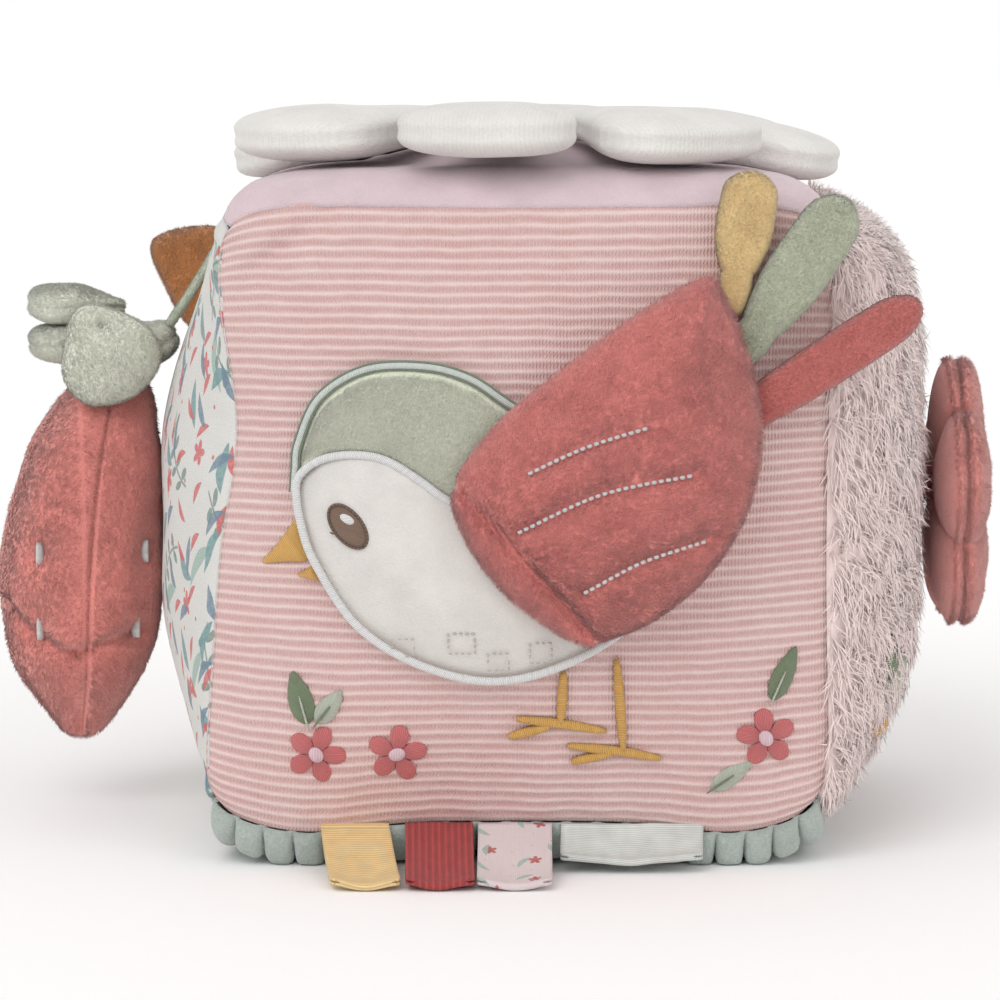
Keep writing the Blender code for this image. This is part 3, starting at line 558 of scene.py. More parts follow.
def front_depth(x, z):
    """How far forward the front panel lies at a place on it."""
    u, v = x / seam_half, (z - block_middle) / seam_half
    for _ in range(4):
        u = max(-1.0, min(1.0, (x + flare(u, -1.0, v)) / (seam_half - seam_bow * swell(v))))
        bow = seam_bow * swell(u) if z > block_middle else 0.0
        v = max(-1.0, min(1.0, (z - block_middle) / (seam_half - bow)))
    return -block_skin(u, -1.0, v).y + front_relief(u, v)


def seam_relief(u, v, depth, length, pitch, seed):
    """Puckers that run in from the seams, and the tuck at the seams themselves."""
    rise = 0.0
    for along, off in ((u, v), (v, u)):
        gap = (1.0 - abs(off)) * seam_half
        side = 1.0 if off > 0 else -1.0
        wander = uneven(along * 3.0, side * 2.0, seed)
        strength = 0.5 + 0.9 * abs(uneven(along * 4.0, side * 5.0, seed + 7.0))
        fade = math.exp(-gap / (length * (0.6 + strength))) * (1.0 - hump(gap, 0.0028))
        folds = math.sin(along * seam_half / pitch * math.tau + wander * 7)
        rise += depth * strength * fade * folds
        rise -= 0.0008 * hump(gap, 0.0019)
    return rise


def slow_waves(u, v, depth, size, seed):
    """Broad soft unevenness of stuffed cloth, which fades at the seams."""
    fade = min(1.0, (1.0 - abs(u)) * 6.0) * min(1.0, (1.0 - abs(v)) * 6.0)
    return depth * fade * uneven(u / size, v / size, seed)


def front_relief(u, v):
    """The front panel's folds without its ribs."""
    rise = seam_relief(u, v, 0.0006, 0.008, 0.014, 1.0) + slow_waves(u, v, 0.0011, 0.45, 2.0)
    x, z = u * seam_half, v * seam_half
    fold = (x + 0.0565) * 0.50 - (z - 0.0672) * 0.87 + 12.0 * (x + 0.058) * abs(x + 0.058)
    reach = math.exp(-((x + 0.060) / 0.013) ** 2 - ((z - 0.066) / 0.010) ** 2)
    return rise - 0.0016 * reach * hump(fold, 0.0020) + 0.0011 * reach * hump(fold + 0.0042, 0.0028)


def panel(name, side, surface, slot, columns, rows, relief, thickness=0.0012, place=None):
    """One side of the block as a thick sheet of cloth with its folds."""
    mesh_maker = bmesh.new()
    bmesh.ops.create_grid(mesh_maker, x_segments=columns, y_segments=rows, size=1.0)
    shares = [(vert.co.x, vert.co.y) for vert in mesh_maker.verts]
    for vert, (u, v) in zip(mesh_maker.verts, shares):
        vert.co = side_point(side, u, v)
    centre = Vector((0.0, 0.0, block_middle))
    mesh_maker.normal_update()
    middle = min(mesh_maker.faces, key=lambda face: face.index)
    if middle.normal.dot(middle.calc_center_median() - centre) < 0:
        bmesh.ops.reverse_faces(mesh_maker, faces=mesh_maker.faces[:])
        mesh_maker.normal_update()
    moves = [vert.normal * relief(u, v) for vert, (u, v) in zip(mesh_maker.verts, shares)]
    for vert, move in zip(mesh_maker.verts, moves):
        vert.co += move
        vert.co.z = max(vert.co.z, 0.0)
    flats = [place(u, v) if place else (u * seam_half, v * seam_half) for u, v in shares]
    made = piece(name + "_cloth", mesh_maker, surface, "block", slot, [name], flats)
    wall(made, thickness)
    return made


def pillow(outline, middle, rings, place, spread=0.75, plump=0.8):
    """A stuffed shape: place(flat point, height, share from the middle to the rim).

    It returns the mesh and the flat places of its vertices."""
    count = len(outline)
    mesh_maker = bmesh.new()
    bmesh.ops.create_uvsphere(mesh_maker, u_segments=count, v_segments=rings, radius=1.0)
    centre = Vector(middle)
    flats = []
    for vert in mesh_maker.verts:
        radius = min(1.0, math.hypot(vert.co.x, vert.co.y))
        angle = math.atan2(vert.co.y, vert.co.x) % math.tau
        index = round(angle / math.tau * count) % count
        high = abs(vert.co.z)
        height = math.copysign(high ** plump, vert.co.z) if high > 1e-6 else 0.0
        reach = radius ** spread if radius > 1e-6 else 0.0
        flat = centre.lerp(Vector(outline[index]), reach)
        flats.append((flat.x, flat.y))
        vert.co = place(flat, height, reach)
    face_out(mesh_maker)
    return mesh_maker, flats


def rough_up(mesh_maker, depth, size, seed):
    """Moves the points in and out along their normals by soft noise."""
    mesh_maker.normal_update()
    moves = [
        vert.normal * (depth * noise.noise(vert.co / size + Vector((seed, seed * 0.7, 0.0))))
        for vert in mesh_maker.verts
    ]
    for vert, move in zip(mesh_maker.verts, moves):
        vert.co += move


def both_sides(side):
    """The outline of an even shape, from the points of its one side."""
    return side + [(x, -y) for x, y in side[-2::-1]]


def band(points, normals, width, height, closed=True, sides=6, taper=0.0):
    """A raised row of satin stitch along a line. It returns the mesh and its flat places."""
    mesh_maker = bmesh.new()
    total = len(points)
    flats = []
    rings = []
    walked = 0.0
    for i, (point, normal) in enumerate(zip(points, normals)):
        ahead = points[(i + 1) % total] if closed or i + 1 < total else points[i]
        behind = points[i - 1] if closed or i else points[i]
        along = (ahead - behind).normalized()
        across = along.cross(normal).normalized()
        if i:
            walked += (point - points[i - 1]).length
        share = 0.0 if closed else abs(2.0 * i / (total - 1) - 1.0)
        wide = width / 2 * (1.0 - taper * share ** 3)
        ring = []
        for k in range(sides + 1):
            turn = math.pi * k / sides
            side = math.cos(turn)
            rise = math.sin(turn) ** 0.7
            at = point + across * (side * wide) + normal * (rise * height)
            ring.append(mesh_maker.verts.new(at))
            flats.append((walked, side * wide))
        rings.append(ring)
    pairs = list(zip(rings, rings[1:])) + ([(rings[-1], rings[0])] if closed else [])
    for one, two in pairs:
        for k in range(sides):
            mesh_maker.faces.new((one[k], one[k + 1], two[k + 1], two[k]))
        mesh_maker.faces.new((one[sides], one[0], two[0], two[sides]))
    if not closed:
        mesh_maker.faces.new(rings[0])
        mesh_maker.faces.new(rings[-1])
    face_out(mesh_maker)
    return mesh_maker, flats


def join_in(target, source, flats_target, flats_source):
    """Adds one mesh with its flat places to another."""
    mesh = bpy.data.meshes.new("part")
    source.to_mesh(mesh)
    source.free()
    target.from_mesh(mesh)
    bpy.data.meshes.remove(mesh)
    flats_target.extend(flats_source)


def stitches(lines, length, gap, thick):
    """Single stitches along lines of (point, normal) pairs, as small rounded bars."""
    mesh_maker = bmesh.new()
    flats = []
    for line in lines:
        walked = walk([point for point, _ in line])
        count = int(walked[-1] / (length + gap))

        def at(distance):
            for i in range(len(walked) - 1):
                if walked[i + 1] >= distance or i == len(walked) - 2:
                    share = (distance - walked[i]) / max(walked[i + 1] - walked[i], 1e-9)
                    return line[i][0].lerp(line[i + 1][0], share), line[i][1]

        for k in range(count):
            start, normal = at(k * (length + gap))
            end, _ = at(k * (length + gap) + length)
            points = []
            for t in (0.0, 0.15, 0.5, 0.85, 1.0):
                lift = thick * 0.8 * math.sin(math.pi * t) - thick * 0.3
                points.append(start.lerp(end, t) + normal * lift)
            made, places = band(points, [normal] * len(points), thick * 1.6, thick,
                                closed=False, sides=5, taper=0.6)
            join_in(mesh_maker, made, flats, places)
    return mesh_maker, flats


def grow_pile(made, count, length, width, comb=(0.0, 0.0, -1.0), lean=0.5, spread=0.35,
              clump=0.5, clump_size=0.004, seed=1, keep=None, curl=0.0, soft=0.35):
    """Grows short hairs from a piece's mesh, curved ones if they curl.

    Comb is the way the pile lies, lean how flat it lies, spread how far single hairs stray and
    clump how far tufts of them do. Keep says whether hairs grow at a point with its normal.
    The hairs are shaded much like the cloth they grow from, which makes the pile look soft."""
    if made.modifiers:
        sewn = made.evaluated_get(bpy.context.evaluated_depsgraph_get())
        solid = bpy.data.meshes.new_from_object(sewn)
        made.modifiers.clear()
        sheet, made.data = made.data, solid
        bpy.data.meshes.remove(sheet)
    mesh = made.data
    mesh.calc_loop_triangles()
    rng = numpy.random.default_rng(seed)
    base = numpy.empty(len(mesh.vertices) * 3)
    mesh.vertices.foreach_get("co", base)
    base = base.reshape(-1, 3)
    normals = numpy.empty(len(mesh.vertices) * 3)
    mesh.vertices.foreach_get("normal", normals)
    normals = normals.reshape(-1, 3)
    corners = numpy.empty(len(mesh.loop_triangles) * 3, dtype=int)
    mesh.loop_triangles.foreach_get("vertices", corners)
    corners = corners.reshape(-1, 3)
    if keep:
        centres = base[corners].mean(axis=1)
        out = normals[corners].mean(axis=1)
        wanted = numpy.array([keep(Vector(c), Vector(n)) for c, n in zip(centres, out)])
        corners = corners[wanted]
    one, two, three = (base[corners[:, k]] for k in range(3))
    areas = numpy.linalg.norm(numpy.cross(two - one, three - one), axis=1)
    chosen = corners[rng.choice(len(corners), count, p=areas / areas.sum())]
    weights = rng.random((count, 2))
    over = weights.sum(axis=1) > 1
    weights[over] = 1 - weights[over]
    weights = numpy.column_stack([weights, 1 - weights.sum(axis=1)])[:, :, None]
    roots = (base[chosen] * weights).sum(axis=1)
    up = (normals[chosen] * weights).sum(axis=1)
    up /= numpy.linalg.norm(up, axis=1)[:, None]
    flow = numpy.array([comb(Vector(p)) if callable(comb) else comb for p in roots], dtype=float)
    drift = numpy.array([noise.noise_vector(Vector(p) / clump_size) for p in roots])
    flow = flow + drift * clump + rng.normal(0.0, spread, (count, 3))
    flow -= up * (flow * up).sum(axis=1)[:, None]
    way = up * (1 - lean) + flow * lean
    way /= numpy.linalg.norm(way, axis=1)[:, None]
    side = numpy.cross(way, up)
    side /= numpy.linalg.norm(side, axis=1)[:, None] + 1e-9
    rear = numpy.cross(side, way)
    tall = length * rng.uniform(0.75, 1.15, count)[:, None]
    wide = width * rng.uniform(0.7, 1.2, count)[:, None] / 2
    low = roots - up * (width * 0.5)
    mid = roots + way * tall * 0.5 + up * tall * 0.10
    tip = roots + way * tall + flow * tall * curl * 0.3 - up * tall * 0.05 * curl
    rows, shades = [], []
    for centre, scale in ((low, 1.0), (mid, 0.8)) if curl else ((low, 1.0),):
        for turn in (0.0, math.tau / 3, 2 * math.tau / 3):
            around = side * math.cos(turn) + rear * math.sin(turn)
            rows.append(centre + around * wide * scale)
            shades.append(up + around * soft)
    rows.append(tip)
    shades.append(up + way * soft)
    hair = numpy.stack(rows, axis=1)
    start = len(base)
    each = len(rows)
    first = start + each * numpy.arange(count)[:, None]
    top = each - 4
    point = [(top + 1, top, top + 3), (top + 2, top + 1, top + 3), (top, top + 2, top + 3)]
    shapes = [numpy.array(point)]
    if curl:
        shapes.append(numpy.array([(1, 0, 3, 4), (2, 1, 4, 5), (0, 2, 5, 3)]))
    faces = [tuple(polygon.vertices) for polygon in mesh.polygons]
    marks = [polygon.material_index for polygon in mesh.polygons]
    for shape in shapes:
        grown_faces = (first[:, :, None] + shape[None]).reshape(-1, shape.shape[1])
        faces.extend(map(tuple, grown_faces.tolist()))
    flats = numpy.zeros((start, 2))
    if "flat" in mesh.uv_layers:
        places = numpy.empty(len(mesh.loops) * 2)
        mesh.uv_layers["flat"].data.foreach_get("uv", places)
        owners = numpy.empty(len(mesh.loops), dtype=int)
        mesh.loops.foreach_get("vertex_index", owners)
        flats[owners] = places.reshape(-1, 2)
    grown = bpy.data.meshes.new(made.name)
    grown.from_pydata(numpy.concatenate([base, hair.reshape(-1, 3)]).tolist(), [], faces)
    for material in mesh.materials:
        grown.materials.append(material)
    marks += [0] * (len(faces) - len(marks))
    grown.polygons.foreach_set("material_index", marks)
    owners = numpy.empty(len(grown.loops), dtype=int)
    grown.loops.foreach_get("vertex_index", owners)
    rooted = numpy.repeat((flats[chosen] * weights).sum(axis=1), each, axis=0)
    places = numpy.concatenate([flats, rooted])
    grown.uv_layers.new(name="flat").data.foreach_set("uv", places[owners].ravel())
    pile = grown.attributes.new("pile", "FLOAT_COLOR", "POINT")
    marks = numpy.zeros((len(grown.vertices), 4))
    marks[:, 3] = 1.0
    rises = [0, 0, 0, 0.6, 0.6, 0.6, 1.0] if curl else [0.2, 0.2, 0.2, 1.0]
    marks[start:, 0] = numpy.tile(rises, count)
    marks[:start, 1] = 0.5
    marks[start:, 1] = numpy.repeat(rng.random(count), each)
    marks[start:, 2] = 1.0
    pile.data.foreach_set("color", marks.ravel())
    grown.shade_smooth()
    shades = numpy.stack(shades, axis=1).reshape(-1, 3)
    shades /= numpy.linalg.norm(shades, axis=1)[:, None]
    grown.normals_split_custom_set_from_vertices(
        numpy.concatenate([numpy.zeros((start, 3)), shades]).tolist())
    made.data = grown
    bpy.data.meshes.remove(mesh)
    return made


# The block's panels

knit_pitch = 0.0025
petal_first, petal_fold, petal_height, petal_thick = -99.0, 0.0152, 0.1808, 0.0132
petal_droops = (1.0, 3.5, 9.5, 8.0, 8.0, 8.0, 11.0, 3.0)
petal_reaches = (0.0790, 0.0790, 0.0815, 0.0790, 0.0790, 0.0790, 0.0770, 0.0835)


def look():
    return bpy.context.scene.fabric_block


def knit_place(u, v):
    """Where a place of the front lies on the knit, whose ridges wander a little."""
    x, z = u * seam_half, v * seam_half
    bend = 0.0007 * uneven(u * 2.4, v * 1.6, 5.0) + 0.00025 * uneven(u * 11.0, v * 9.0, 8.0)
    return x, z + bend - 0.0012 * swell(u) * v


def front_panel():
    def relief(u, v):
        ridge = 0.5 + 0.5 * math.cos(knit_place(u, v)[1] / knit_pitch * math.tau)
        edge = min(1.0, (1.0 - max(abs(u), abs(v))) * 40.0)
        return front_relief(u, v) + 0.00032 * (ridge ** 1.6 - 0.4) * edge

    surface = ribbed_knit("rose_knit", look().knit_ridge, look().knit_hollow, knit_pitch)
    return panel("front_panel", "front", surface, "rose_knit", 90, 420, relief, place=knit_place)


def plain_relief(depth, size, seed, pucker=0.0006, reach=0.008, pitch=0.013):
    def relief(u, v):
        return seam_relief(u, v, pucker, reach, pitch, seed) + slow_waves(u, v, depth, size, seed)
    return relief


def left_panel():
    inks = [
        ("leaf", look().print_leaf, 1.25), ("sprig", look().print_stem, 1.6),
        ("bloom", look().print_bloom, 1.0), ("leaf", look().print_teal, 1.0),
        ("dot", look().print_berry, 0.62), ("leaf", look().print_bloom, 0.62),
        ("leaf", look().print_blue, 0.8),
    ]
    surface = printed_cotton("white_cotton", look().print_ground, inks, 0.021)
    return panel("left_panel", "left", surface, "white_cotton", 110, 110,
                 plain_relief(0.0012, 0.4, 11.0, 0.0007))


def back_panel():
    surface = woven("rose_cotton", look().back_cotton)
    return panel("back_panel", "back", surface, "rose_cotton", 110, 110,
                 plain_relief(0.0012, 0.45, 21.0, 0.0007))


def under_petals(x, y):
    """The greatest height that the top's cloth has under the petals."""
    lowest = 1.0
    for number, droop_deg in enumerate(petal_droops):
        turn = math.radians(petal_first + 45.0 * number)
        along = x * math.cos(turn) + y * math.sin(turn)
        aside = (y * math.cos(turn) - x * math.sin(turn)) / 0.023
        if petal_fold < along < 0.081 and abs(aside) < 1.0:
            grow = 0.5 + 0.5 * min(1.0, (along - petal_fold) / 0.038)
            sink = (along - petal_fold) * math.sin(math.radians(droop_deg))
            plump = petal_thick / 2 * grow * math.sqrt(1.0 - aside ** 2)
            lowest = min(lowest, petal_height - sink - plump - 0.0004)
    return lowest


def top_panel():
    waves = plain_relief(0.0010, 0.4, 31.0, 0.0007, 0.010, 0.017)

    def relief(u, v):
        """The stuffing fills the top right up to its seams."""
        full = 0.66 * swell(u, 9.0) * swell(v, 9.0) - swell(u) * swell(v)
        rise = top_bulge * max(0.0, full) + waves(u, v)
        point = side_point("top", u, v)
        return min(rise, under_petals(point.x, point.y) - point.z)

    surface = velour("lilac_velour", look().lilac)
    return panel("top_panel", "top", surface, "lilac_velour", 130, 130, relief)


def right_panel():
    surface = fur("pink_fur", look().fur_pink)
    waves = plain_relief(0.0016, 0.30, 41.0)

    def relief(u, v):
        tufts = uneven(u * 13, v * 13, 4.0)
        tufts += 0.6 * uneven(u * 27, v * 27, 9.0)
        return waves(u, v) + 0.0016 * (tufts + 0.6) * swell(u, 8.0) * swell(v, 8.0)

    made = panel("right_panel", "right", surface, "pink_fur", 70, 70, relief)
    return grow_pile(
        made, count=18000, length=0.0056, width=0.00048, comb=(0.0, 0.1, -1.0), lean=0.55,
        spread=0.40, clump=1.2, clump_size=0.0060, seed=41,
        keep=lambda place, normal: normal.x > 0.02, curl=1.4, soft=0.45,
    )


def bottom_panel():
    ribs = 21

    def relief(u, v):
        """Round ribs from front to back, which bulge out over the seams."""
        gap = min(1.0 - abs(u), 1.0 - abs(v))
        fade = min(1.0, (1.0 - abs(v)) * 30.0)
        groove = abs(math.cos(math.pi * (u + 1.0) * ribs / 2 + math.pi / 2))
        roll = math.sin(math.pi * min(1.0, gap / 0.11)) if gap > 0 else 0.0
        return 0.0030 * roll - 0.0036 * (1.0 - math.sqrt(1.0 - (1.0 - groove) ** 2)) * fade

    surface = plush("sage_rib", look().sage_rib, crush=0.3)
    return panel("bottom_panel", "bottom", surface, "sage_rib", 252, 110, relief)


def stuffing():
    """The fibre filling, which shows nowhere."""
    mesh_maker = bmesh.new()
    bmesh.ops.create_cube(mesh_maker, size=2.0)
    bmesh.ops.subdivide_edges(mesh_maker, edges=mesh_maker.edges[:], cuts=15, use_grid_fill=True)
    bulk = 0.965
    for vert in mesh_maker.verts:
        point = block_skin(*vert.co)
        point.z = max(point.z, 0.0035)
        middle = Vector((0.0, 0.0, block_middle))
        vert.co = middle + (point - middle) * bulk
    rough_up(mesh_maker, 0.0006, 0.02, 3.0)
    face_out(mesh_maker)
    made = piece("stuffing", mesh_maker, fibre("fibre_fill", look().fibre), "block", "fibre_fill",
                 ["stuffing_core", "stuffing_plug"])
    return made


def rattle():
    """The sealed rattle in the filling keeps its CAD shapes."""
    shell = plain("case_plastic", look().case, 0.4)
    steel = plain("ball_steel", look().ball, 0.25, 1.0)
    surfaces = {"rattle_cup_front": shell, "rattle_cup_back": shell, "rattle_ball": steel}
    for name, surface in surfaces.items():
        node = bpy.data.objects[name]
        for slot in node.material_slots:
            slot.material = surface


# The bird and the stitching on the front

patch_lift = 0.0003
eye_middle = (-0.0432, 0.0864)
forward = Vector((0.0, -1.0, 0.0))


def on_front(x, z, rise):
    """A point over the front panel."""
    return Vector((x, -(front_depth(x, z) + rise), z))


def line_distance(point, line):
    """How far from a line a flat point lies."""
    best = 1.0
    for one, two in zip(line, line[1:]):
        run = two - one
        share = share_of_one((point - one).dot(run) / max(run.length_squared, 1e-12))
        best = min(best, (point - one - run * share).length)
    return best


def rim_distance(point, outline):
    """How far from an outline's closed rim a flat point lies."""
    return line_distance(point, outline + outline[:1])


def inside(point, outline):
    """Whether a flat point lies within an outline."""
    crossings = 0
    for one, two in zip(outline, outline[1:] + outline[:1]):
        if (one.y > point.y) != (two.y > point.y):
            crossings += point.x < one.x + (two.x - one.x) * (point.y - one.y) / (two.y - one.y)
    return crossings % 2 == 1


def patch(name, outline, columns, rows, rise, surface, slot, stands_for):
    """A sewn-on shape between an outline's two sides, raised by rise(rim distance, point)."""
    outline = [Vector(point[:2]) for point in outline]
    half = len(outline) // 2
    upper = smooth_loop(outline[:half], columns + 1, closed=False)
    lower = smooth_loop(outline[half:][::-1], columns + 1, closed=False)
    mesh_maker = bmesh.new()
    bmesh.ops.create_grid(mesh_maker, x_segments=columns, y_segments=rows, size=0.5)
    flats = []
    for vert in mesh_maker.verts:
        column = round((vert.co.x + 0.5) * columns)
        share = 0.5 - 0.5 * math.cos(math.pi * (vert.co.y + 0.5))
        flat = lower[column].lerp(upper[column], share)
        flats.append((flat.x, flat.y))
        vert.co = on_front(flat.x, flat.y, patch_lift + rise(rim_distance(flat, outline), flat))
    mesh_maker.normal_update()
    if sum(face.normal.y for face in mesh_maker.faces) > 0:
        bmesh.ops.reverse_faces(mesh_maker, faces=mesh_maker.faces[:])
    made = piece(name, mesh_maker, surface, "block", slot, stands_for, flats)
    return wall(made, 0.0005)


bird_left, bird_low, bird_long, bird_tall = -0.056, 0.049, 0.100, 0.077


def bird_line(shares, count, closed=True):
    """A smooth line on the front through shares of the bird's length and height."""
    points = [(bird_left + bird_long * u, bird_low + bird_tall * v) for u, v in shares]
    return smooth_loop(points, count, closed)


breast_shares = [
    (0.0, 0.60), (0.01, 0.74), (0.06, 0.89), (0.17, 0.98), (0.31, 0.99), (0.42, 0.95),
    (0.516, 0.87), (0.66, 0.77), (0.82, 0.73), (0.96, 0.74), (0.99, 0.64), (0.93, 0.42),
    (0.82, 0.20), (0.66, 0.06), (0.48, 0.0), (0.30, 0.05), (0.15, 0.17), (0.05, 0.36),
]
hood_shares = [
    (0.012, 0.63), (0.02, 0.74), (0.07, 0.88), (0.175, 0.968), (0.31, 0.978), (0.415, 0.938),
    (0.51, 0.857), (0.62, 0.77), (0.66, 0.70), (0.56, 0.60), (0.46, 0.56), (0.372, 0.573),
    (0.298, 0.636), (0.222, 0.692), (0.15, 0.708), (0.074, 0.695),
]
mint_shares = [
    (-0.004, 0.585), (0.0, 0.66), (0.008, 0.74), (0.059, 0.882), (0.17, 0.972), (0.31, 0.984),
    (0.42, 0.948), (0.516, 0.868), (0.62, 0.79),
]
white_shares = [
    (0.56, 0.52), (0.46, 0.545), (0.372, 0.573), (0.298, 0.636), (0.222, 0.692), (0.15, 0.708),
    (0.074, 0.695), (0.022, 0.655), (0.002, 0.60), (0.015, 0.48), (0.05, 0.36), (0.15, 0.17),
    (0.30, 0.05), (0.48, 0.0), (0.66, 0.06), (0.82, 0.20), (0.93, 0.42), (0.96, 0.58),
]


def dome(thickness, puff, round_off, reach):
    """The height of a puffed patch by the distance from its rim."""
    def rise(gap, flat):
        edge = round_edge(gap, round_off)
        middle = min(1.0, gap / reach)
        return thickness * edge + puff * middle * (2.0 - middle)
    return rise


def border(name, line, width, height, surface, slot, lift, slant=0.0, closed=True):
    """A raised border of satin stitch along a line on the front."""
    points = [on_front(point.x, point.y, patch_lift + lift) for point in line]
    normals = [forward] * len(points)
    mesh_maker, flats = band(points, normals, width, height, closed, sides=7)
    flats = [(along + across * slant, across) for along, across in flats]
    return piece(name, mesh_maker, surface, "block", slot, (), flats)


def bird():
    cream = velour("cream_plush", look().cream)
    sage = plush("sage_plush", look().sage, 0.25)
    breast_line = bird_line(breast_shares, 120)
    mint_line = bird_line(mint_shares, 200, False)
    white_line = bird_line(white_shares, 420, False)
    edges = mint_line[::6] + [mint_line[-1]], white_line[::6] + [white_line[-1]]

    def clear(place, gap=0.0021):
        """Whether a place is away from the borders and the eye."""
        flat = Vector((place.x, place.z))
        if (flat - Vector(eye_middle)).length < 0.0062:
            return False
        return all(line_distance(flat, edge) > gap for edge in edges)

    hood_line = bird_line(hood_shares, 120)
    puffed = dome(thickness=0.0010, puff=0.0022, round_off=0.0018, reach=0.020)

    def smooth_rise(gap, flat):
        """The breast lies flat where the hood covers it."""
        off = line_distance(flat, edges[1])
        cover = min(1.0, off / 0.0010) if inside(flat, hood_line) else 0.0
        full = puffed(gap, flat) - 0.0006 * hump(off, 0.0022)
        return full + (0.0003 - full) * cover

    breast = patch("breast", breast_line, columns=140, rows=60, rise=smooth_rise, surface=cream,
                   slot="cream_plush", stands_for=["bird_breast"])
    hood_rise = dome(thickness=0.0019, puff=0.0012, round_off=0.0022, reach=0.008)
    hood = patch("hood", hood_line, columns=110, rows=30, rise=hood_rise, surface=sage,
                 slot="sage_plush", stands_for=["bird_hood"])

    def lie(place):
        """The hood's pile runs down from the crown and back along the head."""
        turn = share_of_one((place.x + 0.050) / 0.06)
        return (-0.45 + turn * 0.35, 0.0, -1.0)

    grow_pile(
        hood, count=36000, length=0.0017, width=0.00020, comb=lie, lean=0.82, spread=0.14,
        clump=0.35, clump_size=0.003, seed=6,
        keep=lambda place, normal: normal.y < -0.05 and clear(place),
    )
    cream_thread = satin_stitch("cream_thread", look().border_cream)
    border("breast_border", white_line, width=0.0021, height=0.0012, surface=cream_thread,
           slot="cream_plush", lift=0.0022, slant=0.25, closed=False)
    mint_thread = satin_stitch("mint_thread", look().border_mint)
    border("hood_border", mint_line, width=0.0016, height=0.0012, surface=mint_thread,
           slot="sage_plush", lift=0.0019, slant=0.5, closed=False)
    edge = satin_stitch("dark_green_thread", look().border_edge)
    last = len(mint_line) - 1
    for side, shift in (("outer", 1.0), ("inner", -1.0)):
        shifted = []
        for i, point in enumerate(mint_line):
            along = (mint_line[min(i + 1, last)] - mint_line[max(i - 1, 0)]).normalized()
            out = Vector((-along.y, along.x))
            shifted.append(point + out * (0.00095 * shift))
        border(f"hood_edge_{side}", shifted, width=0.0006, height=0.0009, surface=edge,
               slot="green_thread", lift=0.0017, slant=0.5, closed=False)
    eye()
    beak()
    legs()
    darning()


def darning():
    """Small flat squares outlined with faint stitches low on the breast."""
    # The middle's x and z, the width and the height
    boxes = ((-0.0300, 0.0572, 0.0052, 0.0042), (-0.0160, 0.0585, 0.0064, 0.0050),
             (-0.0072, 0.0540, 0.0050, 0.0042), (0.0030, 0.0562, 0.0052, 0.0050))
    lines = []
    for x, z, wide, tall in boxes:
        left, right, low, high = x - wide / 2, x + wide / 2, z - tall / 2, z + tall / 2
        corners = [(left, low), (right, low), (right, high), (left, high), (left, low)]
        for one, two in zip(corners, corners[1:]):
            flats = [Vector(one).lerp(Vector(two), k / 6) for k in range(7)]
            lines.append([(on_front(p.x, p.y, patch_lift + 0.0029), forward) for p in flats])
    mesh_maker, flats = stitches(lines, length=0.0009, gap=0.0006, thick=0.00030)
    piece("breast_darning", mesh_maker, satin_stitch("beige_thread", look().border_beige), "block",
          "cream_plush", (), flats)


def stitched_dome(name, outline, middle, rise, base, surface, slot, stands_for, flats_of=None):
    """A small shape of raised satin stitch on the front."""
    def place(flat, height, reach):
        lift = rise * (1.0 - reach ** 3) if height > 0 else -0.0004
        return on_front(flat.x, flat.y, patch_lift + base + lift)

    mesh_maker, flats = pillow([Vector(p) for p in outline], middle, 14, place, 0.8, 0.7)
    if flats_of:
        flats = [flats_of(Vector(flat)) for flat in flats]
    return piece(name, mesh_maker, surface, "block", slot, stands_for, flats)


def ellipse(middle, long, short, turn_deg, count):
    turn = math.radians(turn_deg)
    points = []
    for k in range(count):
        angle = math.tau * k / count
        a, b = long * math.cos(angle), short * math.sin(angle)
        points.append((middle[0] + a * math.cos(turn) - b * math.sin(turn),
                       middle[1] + a * math.sin(turn) + b * math.cos(turn)))
    return points


def lobed(middle, radius, lobes, waist, count, turn_deg=90.0):
    points = []
    for k in range(count):
        angle = math.tau * k / count
        bump = abs(math.cos(angle * lobes / 2)) ** 0.7
        reach = radius * (waist + (1.0 - waist) * bump)
        turn = angle + math.radians(turn_deg)
        points.append((middle[0] + reach * math.cos(turn), middle[1] + reach * math.sin(turn)))
    return points


def eye():
    brown = satin_stitch("brown_thread", look().eye_brown, 0.0005)
    stitched_dome("eye", ellipse(eye_middle, 0.0060, 0.0034, -50, 48), eye_middle, rise=0.0010,
                  base=0.0029, surface=brown, slot="brown_thread", stands_for=["bird_eye"],
                  flats_of=lambda flat: (flat.y + flat.x * 0.35, flat.x))
    rim = satin_stitch("eye_rim_thread", look().eye_rim, 0.0009)
    line = [Vector(point) for point in ellipse(eye_middle, 0.0061, 0.0035, -50, 64)]
    border("eye_rim", line, width=0.0007, height=0.0008, surface=rim, slot="brown_thread",
           lift=0.0027)
    glint = (eye_middle[0] - 0.0002, eye_middle[1] + 0.0018)
    white = satin_stitch("glint_thread", look().border_cream, 0.0004)
    stitched_dome("eye_glint", ellipse(glint, 0.0020, 0.0011, -28, 24), glint, rise=0.0007,
                  base=0.0036, surface=white, slot="brown_thread", stands_for=[],
                  flats_of=lambda flat: (flat.y, flat.x))
    thread_line("eye_lash", [[(-0.0476, 0.0849), (-0.0467, 0.0846), (-0.0459, 0.0850)],
                             [(-0.0471, 0.0855), (-0.0466, 0.0850), (-0.0462, 0.0843)]],
                width=0.0004, height=0.0004, surface=rim, slot="brown_thread", stands_for=(),
                lift=0.0030)


